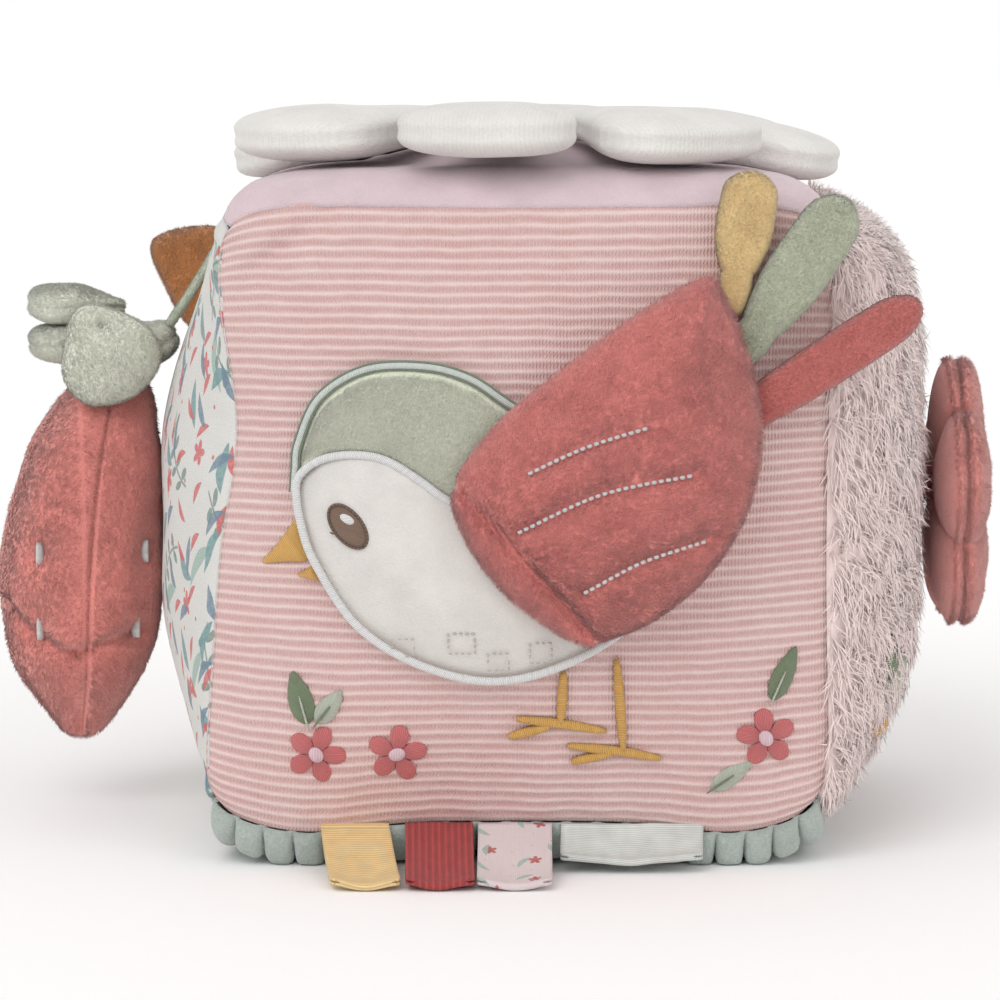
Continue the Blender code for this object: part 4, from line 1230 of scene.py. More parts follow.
def beak():
    """The two halves of the open beak."""
    ochre = satin_stitch("ochre_thread", look().ochre, 0.00045)
    upper = [(-0.0552, 0.0880), (-0.0583, 0.0842), (-0.0612, 0.0804), (-0.0643, 0.0764),
             (-0.0590, 0.0768), (-0.0527, 0.0778), (-0.0536, 0.0830)]
    lower = [(-0.0516, 0.0764), (-0.0536, 0.0752), (-0.0556, 0.0737), (-0.0530, 0.0729),
             (-0.0502, 0.0727), (-0.0508, 0.0745)]
    for name, corners, heart, nodes in (("beak", upper, (-0.0575, 0.0808), ["bird_beak"]),
                                        ("beak_lower", lower, (-0.0524, 0.0742), [])):
        outline = smooth_loop(corners, 60)
        stitched_dome(name, outline, heart, rise=0.0013, base=0.0003, surface=ochre,
                      slot="ochre_thread", stands_for=nodes,
                      flats_of=lambda flat: (flat.x * 0.8 + flat.y * 0.6, flat.y))


def thread_line(name, lines, width, height, surface, slot, stands_for, lift=0.0003):
    """Satin-stitched lines on the front as one piece."""
    joined = bmesh.new()
    flats = []
    for line in lines:
        points = smooth_loop(line, 14, closed=False)
        points = [on_front(point.x, point.y, patch_lift + lift) for point in points]
        normals = [forward] * len(points)
        made, places = band(points, normals, width, height, closed=False, sides=6, taper=0.5)
        join_in(joined, made, flats, places)
    return piece(name, joined, surface, "block", slot, stands_for, flats)


def legs():
    ochre = satin_stitch("leg_thread", look().ochre, 0.00045)
    lines = {
        "front": [
            [(0.0085, 0.0510), (0.0082, 0.0437), (0.0078, 0.0377)],
            [(0.0189, 0.0357), (0.0078, 0.0377), (-0.0028, 0.0390)],
            [(0.0053, 0.0372), (0.0030, 0.0365), (-0.0048, 0.0344)],
        ],
        "rear": [
            [(0.0212, 0.0541), (0.0222, 0.0424), (0.0231, 0.0304)],
            [(0.0322, 0.0284), (0.0231, 0.0303), (0.0095, 0.0321)],
            [(0.0203, 0.0300), (0.0180, 0.0296), (0.0105, 0.0278)],
        ],
    }
    for name, parts in lines.items():
        thread_line(f"leg_{name}", parts, width=0.0025, height=0.0012, surface=ochre,
                    slot="ochre_thread", stands_for=[f"bird_leg_{name}"])


def small_flowers():
    rose = satin_stitch("rose_thread", look().flower_rose, 0.0005)
    pale = satin_stitch("pale_thread", look().flower_heart, 0.0004)
    # The middle's x and z, and the turn in degrees
    places = ((-0.0515, 0.0293, 70), (-0.0318, 0.0297, 82), (0.0579, 0.0332, 98))
    for number, (x, z, turn) in enumerate(places, 1):
        outline = lobed((x, z), 0.0074, 5, 0.40, 100, turn)

        def radial(flat, x=x, z=z, turn=turn):
            """Threads that fan out along each petal."""
            angle = math.atan2(flat.y - z, flat.x - x) - math.radians(turn)
            petal = (angle + math.tau / 10) % (math.tau / 5) - math.tau / 10
            return petal * 0.0058 * (0.6 + (flat - Vector((x, z))).length / 0.012), flat.y

        stitched_dome(f"small_flower_{number}", outline, (x, z), rise=0.0010, base=0.0003,
                      surface=rose, slot="rose_thread", stands_for=[f"sewn_flower_{number}"],
                      flats_of=radial)
        heart = ellipse((x, z), 0.0021, 0.0017, 20 if number == 2 else -60, 28)
        stitched_dome(f"small_flower_heart_{number}", heart, (x, z), rise=0.0008, base=0.0013,
                      surface=pale, slot="rose_thread", stands_for=[],
                      flats_of=lambda flat: (flat.x, flat.y))
    small_leaves()


def small_leaves():
    dark = satin_stitch("green_thread", look().leaf_dark, 0.00045)
    light = satin_stitch("light_green_thread", look().leaf_light, 0.00045)
    # The middle's x and z, the turn in degrees, half the length and half the width
    places = ((-0.0553, 0.0434, 15, 0.0068, 0.0030), (-0.0482, 0.0414, -37, 0.0052, 0.0025),
              (0.0622, 0.0490, -24, 0.0072, 0.0026), (0.0497, 0.0236, -55, 0.0060, 0.0024))
    for number, (x, z, turn, long, wide) in enumerate(places, 1):
        lean = math.radians(turn)
        along = Vector((-math.sin(lean), math.cos(lean)))
        across = Vector((math.cos(lean), math.sin(lean)))
        middle = Vector((x, z))
        outline = [middle + along * (long * math.cos(t)) + across * (wide * math.sin(t) * (
            1.0 - 0.30 * math.cos(t)) * (1.0 - 0.25 * abs(math.cos(t)) ** 3))
            for t in [math.tau * k / 40 for k in range(40)]]

        def slanted(flat, middle=middle, along=along, across=across):
            offset = flat - middle
            return offset.dot(along) - abs(offset.dot(across)) * 0.9, offset.dot(across)

        shade = dark if number % 2 else light
        stitched_dome(f"small_leaf_{number}", outline, middle, rise=0.0009, base=0.0003,
                      surface=shade, slot="green_thread", stands_for=[f"sewn_leaf_{number}"],
                      flats_of=slanted)
        low, high = middle - along * (long + 0.0014), middle + along * (long * 0.1)
        thread_line(f"small_leaf_vein_{number}", [[low, middle - along * (long * 0.5), high]],
                    width=0.0006, height=0.0005, surface=light if number % 2 else dark,
                    slot="green_thread", stands_for=[], lift=0.0012)


# The wing and the tail

fold_slope = math.radians(-48.0)
fold_origin = Vector((-0.0004, -0.0955, 0.0783))
wing_along = Vector((math.cos(fold_slope), 0.0, math.sin(fold_slope)))
wing_away = Vector((-math.sin(fold_slope), 0.0, math.cos(fold_slope)))
wing_span, wing_length = 0.060, 0.0775
wing_shares = [
    (0.42, 0.0), (0.50, 0.180), (0.507, 0.385), (0.448, 0.565), (0.33, 0.717), (0.19, 0.826),
    (-0.055, 0.938), (-0.28, 0.997), (-0.373, 0.987), (-0.44, 0.783), (-0.48, 0.520),
    (-0.495, 0.238), (-0.455, 0.043), (-0.415, -0.004), (-0.385, -0.040), (-0.21, -0.090),
    (0.045, -0.103), (0.29, -0.065), (0.40, -0.025),
]
quilt_lines = [
    [(-0.0167, 0.0153), (-0.0122, 0.0300), (-0.0053, 0.0449)],
    [(-0.0079, 0.0041), (-0.0016, 0.0250), (0.0101, 0.0447)],
    [(0.0132, 0.0061), (0.0170, 0.0215), (0.0241, 0.0367)],
]


def wing_flat(place):
    """How far along the fold and away from it a point of the wing lies."""
    offset = place - fold_origin
    return offset.dot(wing_along), offset.dot(wing_away)


def wing_point(a, b, height):
    """A point of the wing, whose tip curls back to the block."""
    curl = 0.006 * max(0.0, b / wing_length) ** 3
    return fold_origin + wing_along * a + wing_away * b + forward * (height - curl)


def wing():
    outline = smooth_loop([(wing_span * u, wing_length * v) for u, v in wing_shares], 132)
    quilts = [smooth_loop(line, 12, closed=False) for line in quilt_lines]

    def front(flat):
        gap = rim_distance(flat, outline)
        edge = round_edge(gap, 0.0026)
        full = 1.0 - (1.0 - min(1.0, gap / 0.022)) ** 2.0
        rise = 0.0026 * edge + 0.0062 * full
        for line in quilts:
            rise -= 0.0012 * hump(line_distance(flat, line), 0.0024)
        rise -= 0.0030 * hump(flat.y - 0.0004, 0.0013) * min(1.0, gap / 0.002)
        rise += 0.0005 * uneven(flat.x * 90, flat.y * 90, 3.0)
        return wing_point(flat.x, flat.y, max(rise, 0.0003))

    def place(flat, height, reach):
        if height > 0:
            return front(flat)
        back = wing_point(flat.x, flat.y, -0.0013 * (1.0 - reach ** 6))
        seat = -(front_depth(back.x, back.z) + 0.0026)
        share = share_of_one(-flat.y / 0.002) * (1.0 - reach ** 8)
        back.y += (max(seat, back.y) - back.y) * share
        return back

    mesh_maker, flats = pillow(outline, (0.0, wing_length * 0.44), 56, place, 0.80, 0.8)
    surface = plush("rose_plush", look().rose, 0.6)
    made = piece("wing", mesh_maker, surface, None, "rose_plush",
                 ["wing_front_cover", "wing_back_cover", "wing_padding", "wing_rim"], flats)

    def lie(place):
        """The pile fans out from the fold, and runs the other way behind it."""
        a, b = wing_flat(place)
        if b < 0:
            return wing_along * 0.4 - wing_away
        return wing_away + wing_along * (a / wing_span * 1.6)

    def off_quilting(place, normal):
        flat = Vector(wing_flat(place))
        return normal.y < 0.5 and min(line_distance(flat, line) for line in quilts) > 0.0007

    grow_pile(
        made, count=50000, length=0.0014, width=0.00024, comb=lie, lean=0.60, spread=0.30,
        clump=0.6, clump_size=0.004, seed=7, keep=off_quilting,
    )
    tuple(wing_point(0.0, -0.0008, 0.0))
    tuple(wing_point(0.0, 0.0036, 0.0))
    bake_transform(made)
    rows = []
    for line in quilts:
        line = smooth_loop(line, 40, closed=False)
        rows.append([(front(point) + forward * 0.0007, forward) for point in line])
    mesh_maker, flats = stitches(rows, length=0.00125, gap=0.00045, thick=0.00062)
    piece("wing_stitches", mesh_maker, satin_stitch("white_thread", look().border_cream, 0.0003),
          "wing", "rose_thread", (), flats)


# Name, the fold's x and z, lean in degrees, length, width, width at the fold, how far forward
tabs = (
    ("yellow", (0.0498, 0.1466), 9.0, 0.0245, 0.0135, 0.0085, 0.0808),
    ("sage", (0.0552, 0.1338), 34.0, 0.0370, 0.0145, 0.0100, 0.0828),
    ("rose", (0.0575, 0.1165), 57.0, 0.0430, 0.0115, 0.0105, 0.0838),
)
tab_shares = [
    (0.0, 0.92), (0.06, 1.0), (0.35, 1.0), (0.70, 1.0), (0.86, 0.90), (0.96, 0.52), (1.0, 0.0),
]


def tail():
    colours = {"yellow": look().yellow, "sage": look().olive, "rose": look().rose_deep}
    for seed, (name, fold, lean_deg, length, width, fold_width, ahead) in enumerate(tabs):
        lean = math.radians(lean_deg)
        along = Vector((math.sin(lean), 0.0, math.cos(lean)))
        across = Vector((math.cos(lean), 0.0, -math.sin(lean)))
        origin = Vector((fold[0], -ahead, fold[1]))
        root = 0.0095

        def half(u, v):
            return v * (fold_width + (width - fold_width) * min(1.0, u / 0.35)) / 2

        side = [(-root, fold_width * 0.28), (-root / 2, fold_width * 0.46)]
        side += [(length * u, half(u, v)) for u, v in tab_shares]
        outline = smooth_loop(both_sides(side), 96)

        def place(flat, height, reach):
            gap = rim_distance(flat, outline)
            edge = round_edge(gap, 0.0022)
            at = origin + along * flat.x + across * flat.y
            at.y -= math.copysign(0.0024 * edge, height) * (1.0 if height else 0.0)
            at.y += 0.0006 * uneven(flat.x * 70, flat.y * 70, seed * 5.0)
            if flat.x < 0 and height <= 0:
                seat = -(front_depth(at.x, at.z) + 0.0004)
                at.y += (seat - at.y) * min(1.0, -flat.x / 0.002) * (1.0 - reach ** 8)
            return at

        mesh_maker, flats = pillow(outline, (length * 0.4, 0.0), 36, place, 0.6, 0.8)
        surface = plush(f"{name}_plush_tab", colours[name], 0.5)
        made = piece(f"tail_{name}", mesh_maker, surface, None, f"{name}_plush",
                     [f"tail_root_{name}", f"tail_tab_{name}"], flats)
        grow_pile(
            made, count=20000, length=0.0009, width=0.00022, comb=tuple(-along), lean=0.86,
            spread=0.25, clump=0.4, clump_size=0.004, seed=20 + seed,
            keep=lambda place, normal, origin=origin, along=along: (
                normal.y < 0.6 or (place - origin).dot(along) > 0.004),
        )
        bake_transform(made)


# The ribbon tags

def tag(name, left, width, reach, end_height, lean, surface, slot):
    """A folded ribbon whose two ends are sewn into the front bottom seam."""
    start_y, start_z, fold, thick = -0.0734, 0.011, 0.0009, 0.0007
    path = []
    for k in range(25):
        share = k / 24
        rise = (end_height + fold - start_z) * math.sin(share * math.pi / 2)
        path.append(Vector((start_y - reach * share, start_z + rise)))
    run = (path[-1] - path[-2]).normalized()
    side = Vector((-run.y, run.x))
    if side.y < 0:
        side = -side
    upper, lower = [], []
    for i, point in enumerate(path):
        direction = (path[min(i + 1, 24)] - path[max(i - 1, 0)]).normalized()
        normal = Vector((-direction.y, direction.x))
        if normal.y < 0:
            normal = -normal
        spread = fold * min(1.0, 0.25 + i / 12)
        upper.append(point + normal * spread)
        lower.append(point - normal * spread)
    turn = []
    for k in range(1, 10):
        angle = math.pi * k / 10
        turn.append(path[-1] + side * fold * math.cos(angle) + run * fold * math.sin(angle))
    line = upper + turn + lower[::-1]
    walked = walk(line)
    tip = line[len(upper) + 4].x
    columns = 24
    mesh_maker = bmesh.new()
    flats = []
    bmesh.ops.create_grid(mesh_maker, x_segments=columns, y_segments=len(line) - 1, size=0.5)
    corner = 0.0024
    for vert in mesh_maker.verts:
        row = round((vert.co.y + 0.5) * (len(line) - 1))
        y, z = line[row]
        gap = abs(y - tip)
        trim = corner - math.sqrt(max(0.0, corner ** 2 - max(0.0, corner - gap) ** 2))
        across = vert.co.x * (width - 2 * trim)
        flats.append((across, walked[row]))
        curve = 0.0007 * math.cos(vert.co.x * 5.2) * (start_y - y) / reach
        ripple = 0.0003 * uneven(across * 150, y * 90, left * 300)
        aside = left + width / 2 + across + lean * (start_y - y) / reach
        vert.co = Vector((aside, y, z - curve + ripple))
    mesh_maker.normal_update()
    top = max(mesh_maker.faces, key=lambda face: face.calc_center_median().z)
    if top.normal.z < 0:
        bmesh.ops.reverse_faces(mesh_maker, faces=mesh_maker.faces[:])
    made = piece(f"tag_{name}_ribbon", mesh_maker, surface, None, slot, [f"tag_{name}"], flats)
    wall(made, thick)
    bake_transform(made)
    return made


def ribbons():
    surface = ribbon("yellow_satin", look().satin_yellow, pitch=0.0009, upright=False,
                     depth=0.00008, shine=0.35)
    tag("yellow", left=-0.0508, width=0.0168, reach=0.0262, end_height=0.0010, lean=0.0035,
        surface=surface, slot="yellow_satin")
    surface = ribbon("red_ribbon", look().ribbon_red, pitch=0.0016, upright=True,
                     depth=0.00035, shine=0.55)
    tag("red", left=-0.0300, width=0.0166, reach=0.0262, end_height=0.0010, lean=0.0006,
        surface=surface, slot="red_ribbon")
    inks = [
        ("bloom", look().ribbon_red, 1.0), ("leaf", look().print_leaf, 0.8),
        ("dot", look().ochre, 0.5),
    ]
    surface = printed_cotton("pink_ribbon", look().ribbon_pink, inks, cell=0.0105)
    tag("printed", left=-0.0121, width=0.0180, reach=0.0262, end_height=0.0010, lean=-0.0002,
        surface=surface, slot="pink_ribbon")
    surface = ribbon("white_ribbon", look().ribbon_white, pitch=0.0005, upright=False,
                     depth=0.00005, shine=0.45)
    tag("white", left=0.0082, width=0.0348, reach=0.0075, end_height=0.0030, lean=-0.0004,
        surface=surface, slot="white_ribbon")


# The flower on the top

petal_shares = [
    (0.0, 0.20), (0.05, 0.25), (0.32, 0.50), (0.58, 0.85), (0.76, 1.0), (0.90, 0.86), (0.98, 0.45),
    (1.0, 0.0),
]


def top_flower():
    surface = velour("petal_velour", look().petal, 0.0011)
    fold, height, thick = petal_fold, petal_height, petal_thick
    width = 0.0440
    for number, (droop_deg, reach) in enumerate(zip(petal_droops, petal_reaches), 1):
        length = reach - fold
        side = [(length * u, width / 2 * v) for u, v in petal_shares]
        outline = smooth_loop(both_sides(side), 112)
        turn = math.radians(petal_first + 45.0 * (number - 1))
        droop = math.radians(droop_deg)
        out = Vector((math.cos(turn), math.sin(turn), 0.0))
        across = Vector((-math.sin(turn), math.cos(turn), 0.0))
        along = out * math.cos(droop) - Vector((0, 0, math.sin(droop)))
        up = Vector((0, 0, math.cos(droop))) + out * math.sin(droop)
        origin = out * fold + Vector((0, 0, height))

        def place(flat, high, share):
            grow = 0.50 + 0.50 * min(1.0, flat.x / length / 0.6)
            angle = math.atan2(flat.y, flat.x - length * 0.62)
            seam = hump(high, 0.22)
            pucker = uneven(math.cos(angle) * 9, math.sin(angle) * 9, number * 4.0)
            pull = 1.0 - 0.022 * seam - 0.012 * pucker * hump(high, 0.5)
            middle = Vector((length * 0.62, 0.0))
            at = middle + (flat - middle) * pull
            face = number * 7.0 + (3.0 if high > 0 else 0.0)
            lumps = 1.0 + 0.10 * uneven(flat.x * 45, flat.y * 45, face)
            swelled = thick / 2 * grow * high * lumps
            return origin + along * at.x + across * at.y + up * swelled

        mesh_maker, flats = pillow(outline, (length * 0.62, 0.0), 56, place, 0.75, 0.62)
        made = piece(f"petal_{number}_pad", mesh_maker, surface, None, "petal_velour",
                     [f"petal_{number}"], flats)
        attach(made, f"petal_{number}")
    button()


def button():
    low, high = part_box("flower_button")
    radius, tall = (high.x - low.x) / 2, high.z - low.z
    mesh_maker = bmesh.new()
    bmesh.ops.create_uvsphere(mesh_maker, u_segments=72, v_segments=36, radius=1.0)
    for vert in mesh_maker.verts:
        angle = math.atan2(vert.co.y, vert.co.x)
        pleat = 1.0 + 0.02 * math.cos(angle * 13 + vert.co.z * 2) * (1.0 - abs(vert.co.z))
        dent = 0.14 * hump(math.hypot(vert.co.x, vert.co.y), 0.22) * (vert.co.z > 0)
        vert.co = Vector((vert.co.x * radius * pleat, vert.co.y * radius * pleat,
                          low.z + (1.0 + vert.co.z - dent) * tall * 0.24))
    made = piece("button_pad", mesh_maker, plush("button_plush", look().yellow, 0.4), "block",
                 "yellow_plush", ["flower_button"])
    grow_pile(
        made, count=5000, length=0.0010, width=0.00028, comb=(0, 0, -1), lean=0.6, seed=9,
        keep=lambda place, normal: normal.z > -0.3,
    )


# The strawberry on its tape

berry_middle, berry_low, berry_long, berry_wide = -0.1166, 0.019, 0.099, 0.0425
berry_shares = [
    (0.0, 0.0), (0.010, 0.20), (0.035, 0.335), (0.071, 0.476), (0.124, 0.658), (0.176, 0.80),
    (0.229, 0.886), (0.30, 0.97), (0.387, 1.025), (0.46, 1.035), (0.545, 1.01), (0.65, 0.96),
    (0.755, 0.845), (0.86, 0.665), (0.93, 0.48), (0.98, 0.26), (1.0, 0.0),
]
seam_turn = math.radians(80.0)
seed_places = [(angle, share) for share in (0.51, 0.31) for angle in (-37, -119, 58, 143)]


def berry_profile():
    line = smooth_loop(berry_shares, 400, closed=False)

    def reach(share):
        """The berry's radius as a share of its widest, at a height share."""
        low, high = 0, len(line) - 1
        while high - low > 1:
            middle = (low + high) // 2
            if line[middle].x < share:
                low = middle
            else:
                high = middle
        span = max(line[high].x - line[low].x, 1e-9)
        part = share_of_one((share - line[low].x) / span)
        return max(0.0, line[low].y + (line[high].y - line[low].y) * part)

    return line, reach


def berry_point(angle, share, radius, out=0.0):
    """A point of the berry, which leans to the block and is pressed flat under its front leaf."""
    hollow = 1.0 - 0.035 * (0.5 + 0.5 * math.cos(4 * (angle + seam_turn)))
    wide = berry_wide / 2 * radius * hollow
    deep = math.sin(angle) * (wide * 0.84 + out)
    pressed = -0.0066 - 0.08 * max(0.0, 0.93 - share)
    return Vector((
        berry_middle + 0.0107 * share ** 3 + math.cos(angle) * (wide + out),
        max(deep, pressed), berry_low + berry_long * share,
    ))


def strawberry():
    line, reach = berry_profile()
    sides, rings = 112, 90
    seeds = []
    for turn, share in seed_places:
        angle = math.radians(turn)
        seeds.append((berry_point(angle, share, reach(share)), angle, share))
    creases = [
        [Vector((-0.1350, 0.0560)), Vector((-0.1290, 0.0485)), Vector((-0.1225, 0.0455)),
         Vector((-0.1162, 0.0432))],
        [Vector((-0.1162, 0.0432)), Vector((-0.1070, 0.0462)), Vector((-0.0990, 0.0480))],
        [Vector((-0.1245, 0.0830)), Vector((-0.1190, 0.0815)), Vector((-0.1140, 0.0780))],
    ]
    tip = Vector((-0.1164, 0.0195))
    mesh_maker = bmesh.new()
    bmesh.ops.create_uvsphere(mesh_maker, u_segments=sides, v_segments=rings, radius=1.0)
    for vert in mesh_maker.verts:
        angle = math.atan2(vert.co.y, vert.co.x)
        polar = math.acos(max(-1.0, min(1.0, -vert.co.z))) / math.pi
        at = line[round(polar * (len(line) - 1))]
        point = berry_point(angle, at.x, at.y)
        out = Vector((math.cos(angle), math.sin(angle), 0.0))
        sink = 0.0
        for seed, _, _ in seeds:
            sink += 0.0022 * hump((point - seed).length, 0.0050)
        if point.y < 0.002:
            flat = Vector((point.x, point.z))
            for crease, deep in zip(creases, (0.0024, 0.0024, 0.0011)):
                sink += deep * hump(line_distance(flat, crease), 0.0016)
                above = line_distance(flat + Vector((0.0, -0.0034)), crease)
                sink -= 0.4 * deep * hump(above, 0.0026)
        sink += 0.0030 * hump(point.x - tip.x, 0.0013) * max(0.0, 1.0 - at.x / 0.14)
        sink -= 0.0012 * noise.noise(point * 75 + Vector((3.0, 1.0, 8.0)))
        sink += 0.0013 * hump(math.sin((angle + seam_turn) * 2), 0.05)
        vert.co = point - out * sink * min(1.0, at.y * 2)
    face_out(mesh_maker)
    surface = plush("berry_plush", look().berry, 0.7)
    made = piece("strawberry", mesh_maker, surface, "strawberry", "rose_plush", ["strawberry_body"])

    def part_ways(place):
        """The pile runs down the berry, and parts at the seams between its gores."""
        angle = math.degrees(math.atan2(place.y, place.x - berry_middle) + seam_turn)
        off = (angle + 45.0) % 90.0 - 45.0
        turn = math.copysign(2.2 * hump(off, 16.0), off)
        around = Vector((-place.y, place.x - berry_middle, 0.0)).normalized() * turn
        return around + Vector((0.0, 0.0, -1.0))

    grow_pile(
        made, count=50000, length=0.0015, width=0.00024, comb=part_ways, lean=0.70,
        spread=0.25, clump=0.5, clump_size=0.006, seed=12,
    )
    white = satin_stitch("seed_thread", look().border_cream, 0.0003)
    joined = bmesh.new()
    flats = []
    for seed, angle, share in seeds:
        out = Vector((math.cos(angle), math.sin(angle) * 0.9, 0.12)).normalized()
        along = Vector((0.0, 0.0, 1.0))
        middle = seed - out * (0.0019 if share == 0.51 else 0.0027)
        points = [middle + along * (0.0029 * t) for t in (-1.0, -0.7, -0.35, 0.0, 0.35, 0.7, 1.0)]
        made, places = band(points, [out] * len(points), width=0.0017, height=0.0022,
                            closed=False, sides=7, taper=0.85)
        join_in(joined, made, flats, places)
    piece("strawberry_seeds", joined, white, "strawberry", "rose_plush", (), flats)
    calyx()
    tape()


# Name, size, turn, tilt and roll in degrees, and the root's place from the berry's top
calyx_leaves = (
    ("front", 1.12, 0.0, -60.0, 92.0, (0.00227, -0.01213, 0.01403)),
    ("left", 1.0, 180.0, -6.0, 0.0, (0.0110, 0.0052, 0.0053)),
    ("back", 1.06, 178.0, 2.0, 0.0, (0.0122, 0.0062, 0.0127)),
    ("right", 0.904, 15.1, 20.9, 0.0, (0.00602, -0.00054, -0.00163)),
)


def calyx():
    """Four stuffed leaves with small tied dimples. The front one hangs down over the berry."""
    thick = 0.0100
    shares = [(0.0, 0.0), (0.12, 0.22), (0.5, 0.5), (0.85, 0.42), (1.0, 0.0), (0.85, -0.42),
              (0.5, -0.5), (0.12, -0.22)]
    surface = plush("leaf_plush", look().calyx, 0.3)
    thread = satin_stitch("leaf_stitch", shaded(look().calyx, 0.86), 0.0003)
    for seed, (name, size, turn_deg, tilt_deg, roll_deg, start) in enumerate(calyx_leaves):
        length, width = 0.0235 * size, 0.0226 * size
        outline = smooth_loop([(length * u, width * v) for u, v in shares], 72)
        turn, tilt, roll = (math.radians(angle) for angle in (turn_deg, tilt_deg, roll_deg))
        out = Vector((math.cos(turn), math.sin(turn), 0.0))
        aside = Vector((-math.sin(turn), math.cos(turn), 0.0))
        along = out * math.cos(tilt) + Vector((0, 0, math.sin(tilt)))
        top_way = Vector((0, 0, math.cos(tilt))) - out * math.sin(tilt)
        across = aside * math.cos(roll) + top_way * math.sin(roll)
        up = top_way * math.cos(roll) - aside * math.sin(roll)
        origin = Vector((berry_middle, 0.0, berry_low + berry_long + 0.0006)) + Vector(start)
        dimples = [Vector((length * u, width * v)) for u, v in ((0.255, 0.105), (0.885, 0.21))]

        def place(flat, high, share):
            grow = 0.5 + 0.5 * min(1.0, flat.x / length / 0.5)
            dip = 1.5 * hump((flat - dimples[0]).length, 0.0020)
            ring = (flat - dimples[1]).length
            dip += 0.5 * hump(ring, 0.0030) - 0.45 * hump(ring, 0.0010)
            seam = 1.0 - 0.05 * hump(high, 0.15)
            middle = Vector((length * 0.55, 0.0))
            at = middle + (flat - middle) * seam
            lift = thick / 2 * grow * high - (0.0012 * dip if high > 0 else 0.0)
            lift += 0.0009 * uneven(flat.x * 110, flat.y * 110, seed * 5.0 + 1.0)
            return origin + along * at.x + across * at.y + up * lift

        mesh_maker, flats = pillow(outline, (length * 0.55, 0.0), 40, place, 0.66, 0.62)
        made = piece(f"leaf_{name}", mesh_maker, surface, "strawberry", "sage_plush",
                     [f"strawberry_leaf_{name}"], flats)
        grow_pile(
            made, count=17000, length=0.0010, width=0.00022, comb=tuple(along), lean=0.70,
            spread=0.3, clump=0.4, clump_size=0.004, seed=30 + seed,
        )
        rows = []
        for dimple, sink in zip(dimples, (0.0022, 0.0006)):
            base = origin + along * dimple.x + across * dimple.y + up * (thick / 2 * 0.80 - sink)
            rows.append([(base - across * 0.0008 + along * 0.0004, up),
                         (base + across * 0.0008 - along * 0.0004, up)])
        mesh_maker, flats = stitches(rows, length=0.0014, gap=0.0001, thick=0.0005)
        piece(f"leaf_stitches_{name}", mesh_maker, thread, "strawberry", "sage_plush", (), flats)


def tape():
    """The sage strap that the strawberry hangs on, folded double."""
    start, end = Vector((-0.0742, 0.0, 0.1572)), Vector((-0.0930, 0.0, 0.1263))
    run = (end - start).normalized()
    side = Vector((-run.z, 0.0, run.x))
    if side.x > 0:
        side = -side
    mesh_maker = bmesh.new()
    bmesh.ops.create_uvsphere(mesh_maker, u_segments=28, v_segments=40, radius=1.0)
    bmesh.ops.rotate(mesh_maker, verts=mesh_maker.verts[:], matrix=quarter_turn)
    flats = []
    for vert in mesh_maker.verts:
        share = share_of_one(vert.co.x * 0.5 + 0.5)
        round_off = math.hypot(vert.co.y, vert.co.z) or 1e-6
        fill = min(1.0, round_off * 3.0)
        a, b = vert.co.y / round_off * fill, vert.co.z / round_off * fill
        width, thick = 0.0046, 0.0026
        fold = 0.00035 * hump(a, 0.25)
        point = start.lerp(end, share) - side * 0.0006 * math.sin(math.pi * share)
        point += Vector((0.0, a * width / 2, 0.0)) + side * (b * (thick / 2 - fold))
        flats.append((a * width / 2, share * (end - start).length))
        vert.co = point
    face_out(mesh_maker)
    surface = plush("tape_plush", look().tape, 0.3)
    made = piece("tape_strap", mesh_maker, surface, None, "sage_plush", ["strawberry_tape"], flats)
    grow_pile(made, count=4000, length=0.0007, width=0.00020, comb=tuple(run), lean=0.7, seed=16)
    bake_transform(made)


# The rose flower, the flap and the stitching on the sides

def rose_flower():
    low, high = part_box("rose_flower")
    radius, thick = 0.0355, high.x - low.x
    middle_x = (low.x + high.x) / 2
    outline = [Vector(point) for point in lobed((0.0, 0.0), radius, 5, 0.80, 120)]

    def place(flat, height, share):
        angle = math.atan2(flat.y, flat.x)
        groove = abs(math.cos((angle - math.pi / 2) * 2.5)) ** 0.5
        seam = 1.0 - 0.06 * hump(height, 0.15)
        rise = height * (0.72 + 0.28 * groove) * (0.82 + 0.18 * min(1.0, share * 2.2))
        rise += 0.06 * uneven(flat.x * 60, flat.y * 60, 4.0 if height > 0 else 9.0)
        up = block_middle - 0.003 + flat.y * seam
        return Vector((middle_x + thick / 2 * rise, flat.x * seam, up))

    mesh_maker, flats = pillow(outline, (0.0, 0.0), 56, place, 0.7, 0.7)
    made = piece("rose_pad", mesh_maker, plush("flower_plush", look().flower, 0.6), "rose_flower",
                 "rose_plush", ["rose_flower"], flats)
    grow_pile(
        made, count=45000, length=0.0015, width=0.00025, comb=(0.0, 0.2, -1.0), lean=0.62,
        spread=0.3, clump=0.7, clump_size=0.005, seed=13,
        keep=lambda place, normal: normal.x > -0.6,
    )
    mesh_maker = bmesh.new()
    bmesh.ops.create_cone(mesh_maker, cap_ends=True, segments=32, radius1=0.0056, radius2=0.0046,
                          depth=0.0052)
    bmesh.ops.rotate(mesh_maker, verts=mesh_maker.verts[:], matrix=quarter_turn)
    bmesh.ops.translate(mesh_maker, verts=mesh_maker.verts[:], vec=(0.1024, 0.0, block_middle))
    flats = [(math.atan2(vert.co.z - block_middle, vert.co.y) * 0.005, vert.co.x)
             for vert in mesh_maker.verts]
    piece("rose_tuft", mesh_maker, satin_stitch("tuft_thread", look().flower_rose), "block",
          "rose_thread", ["rose_shank"], flats)


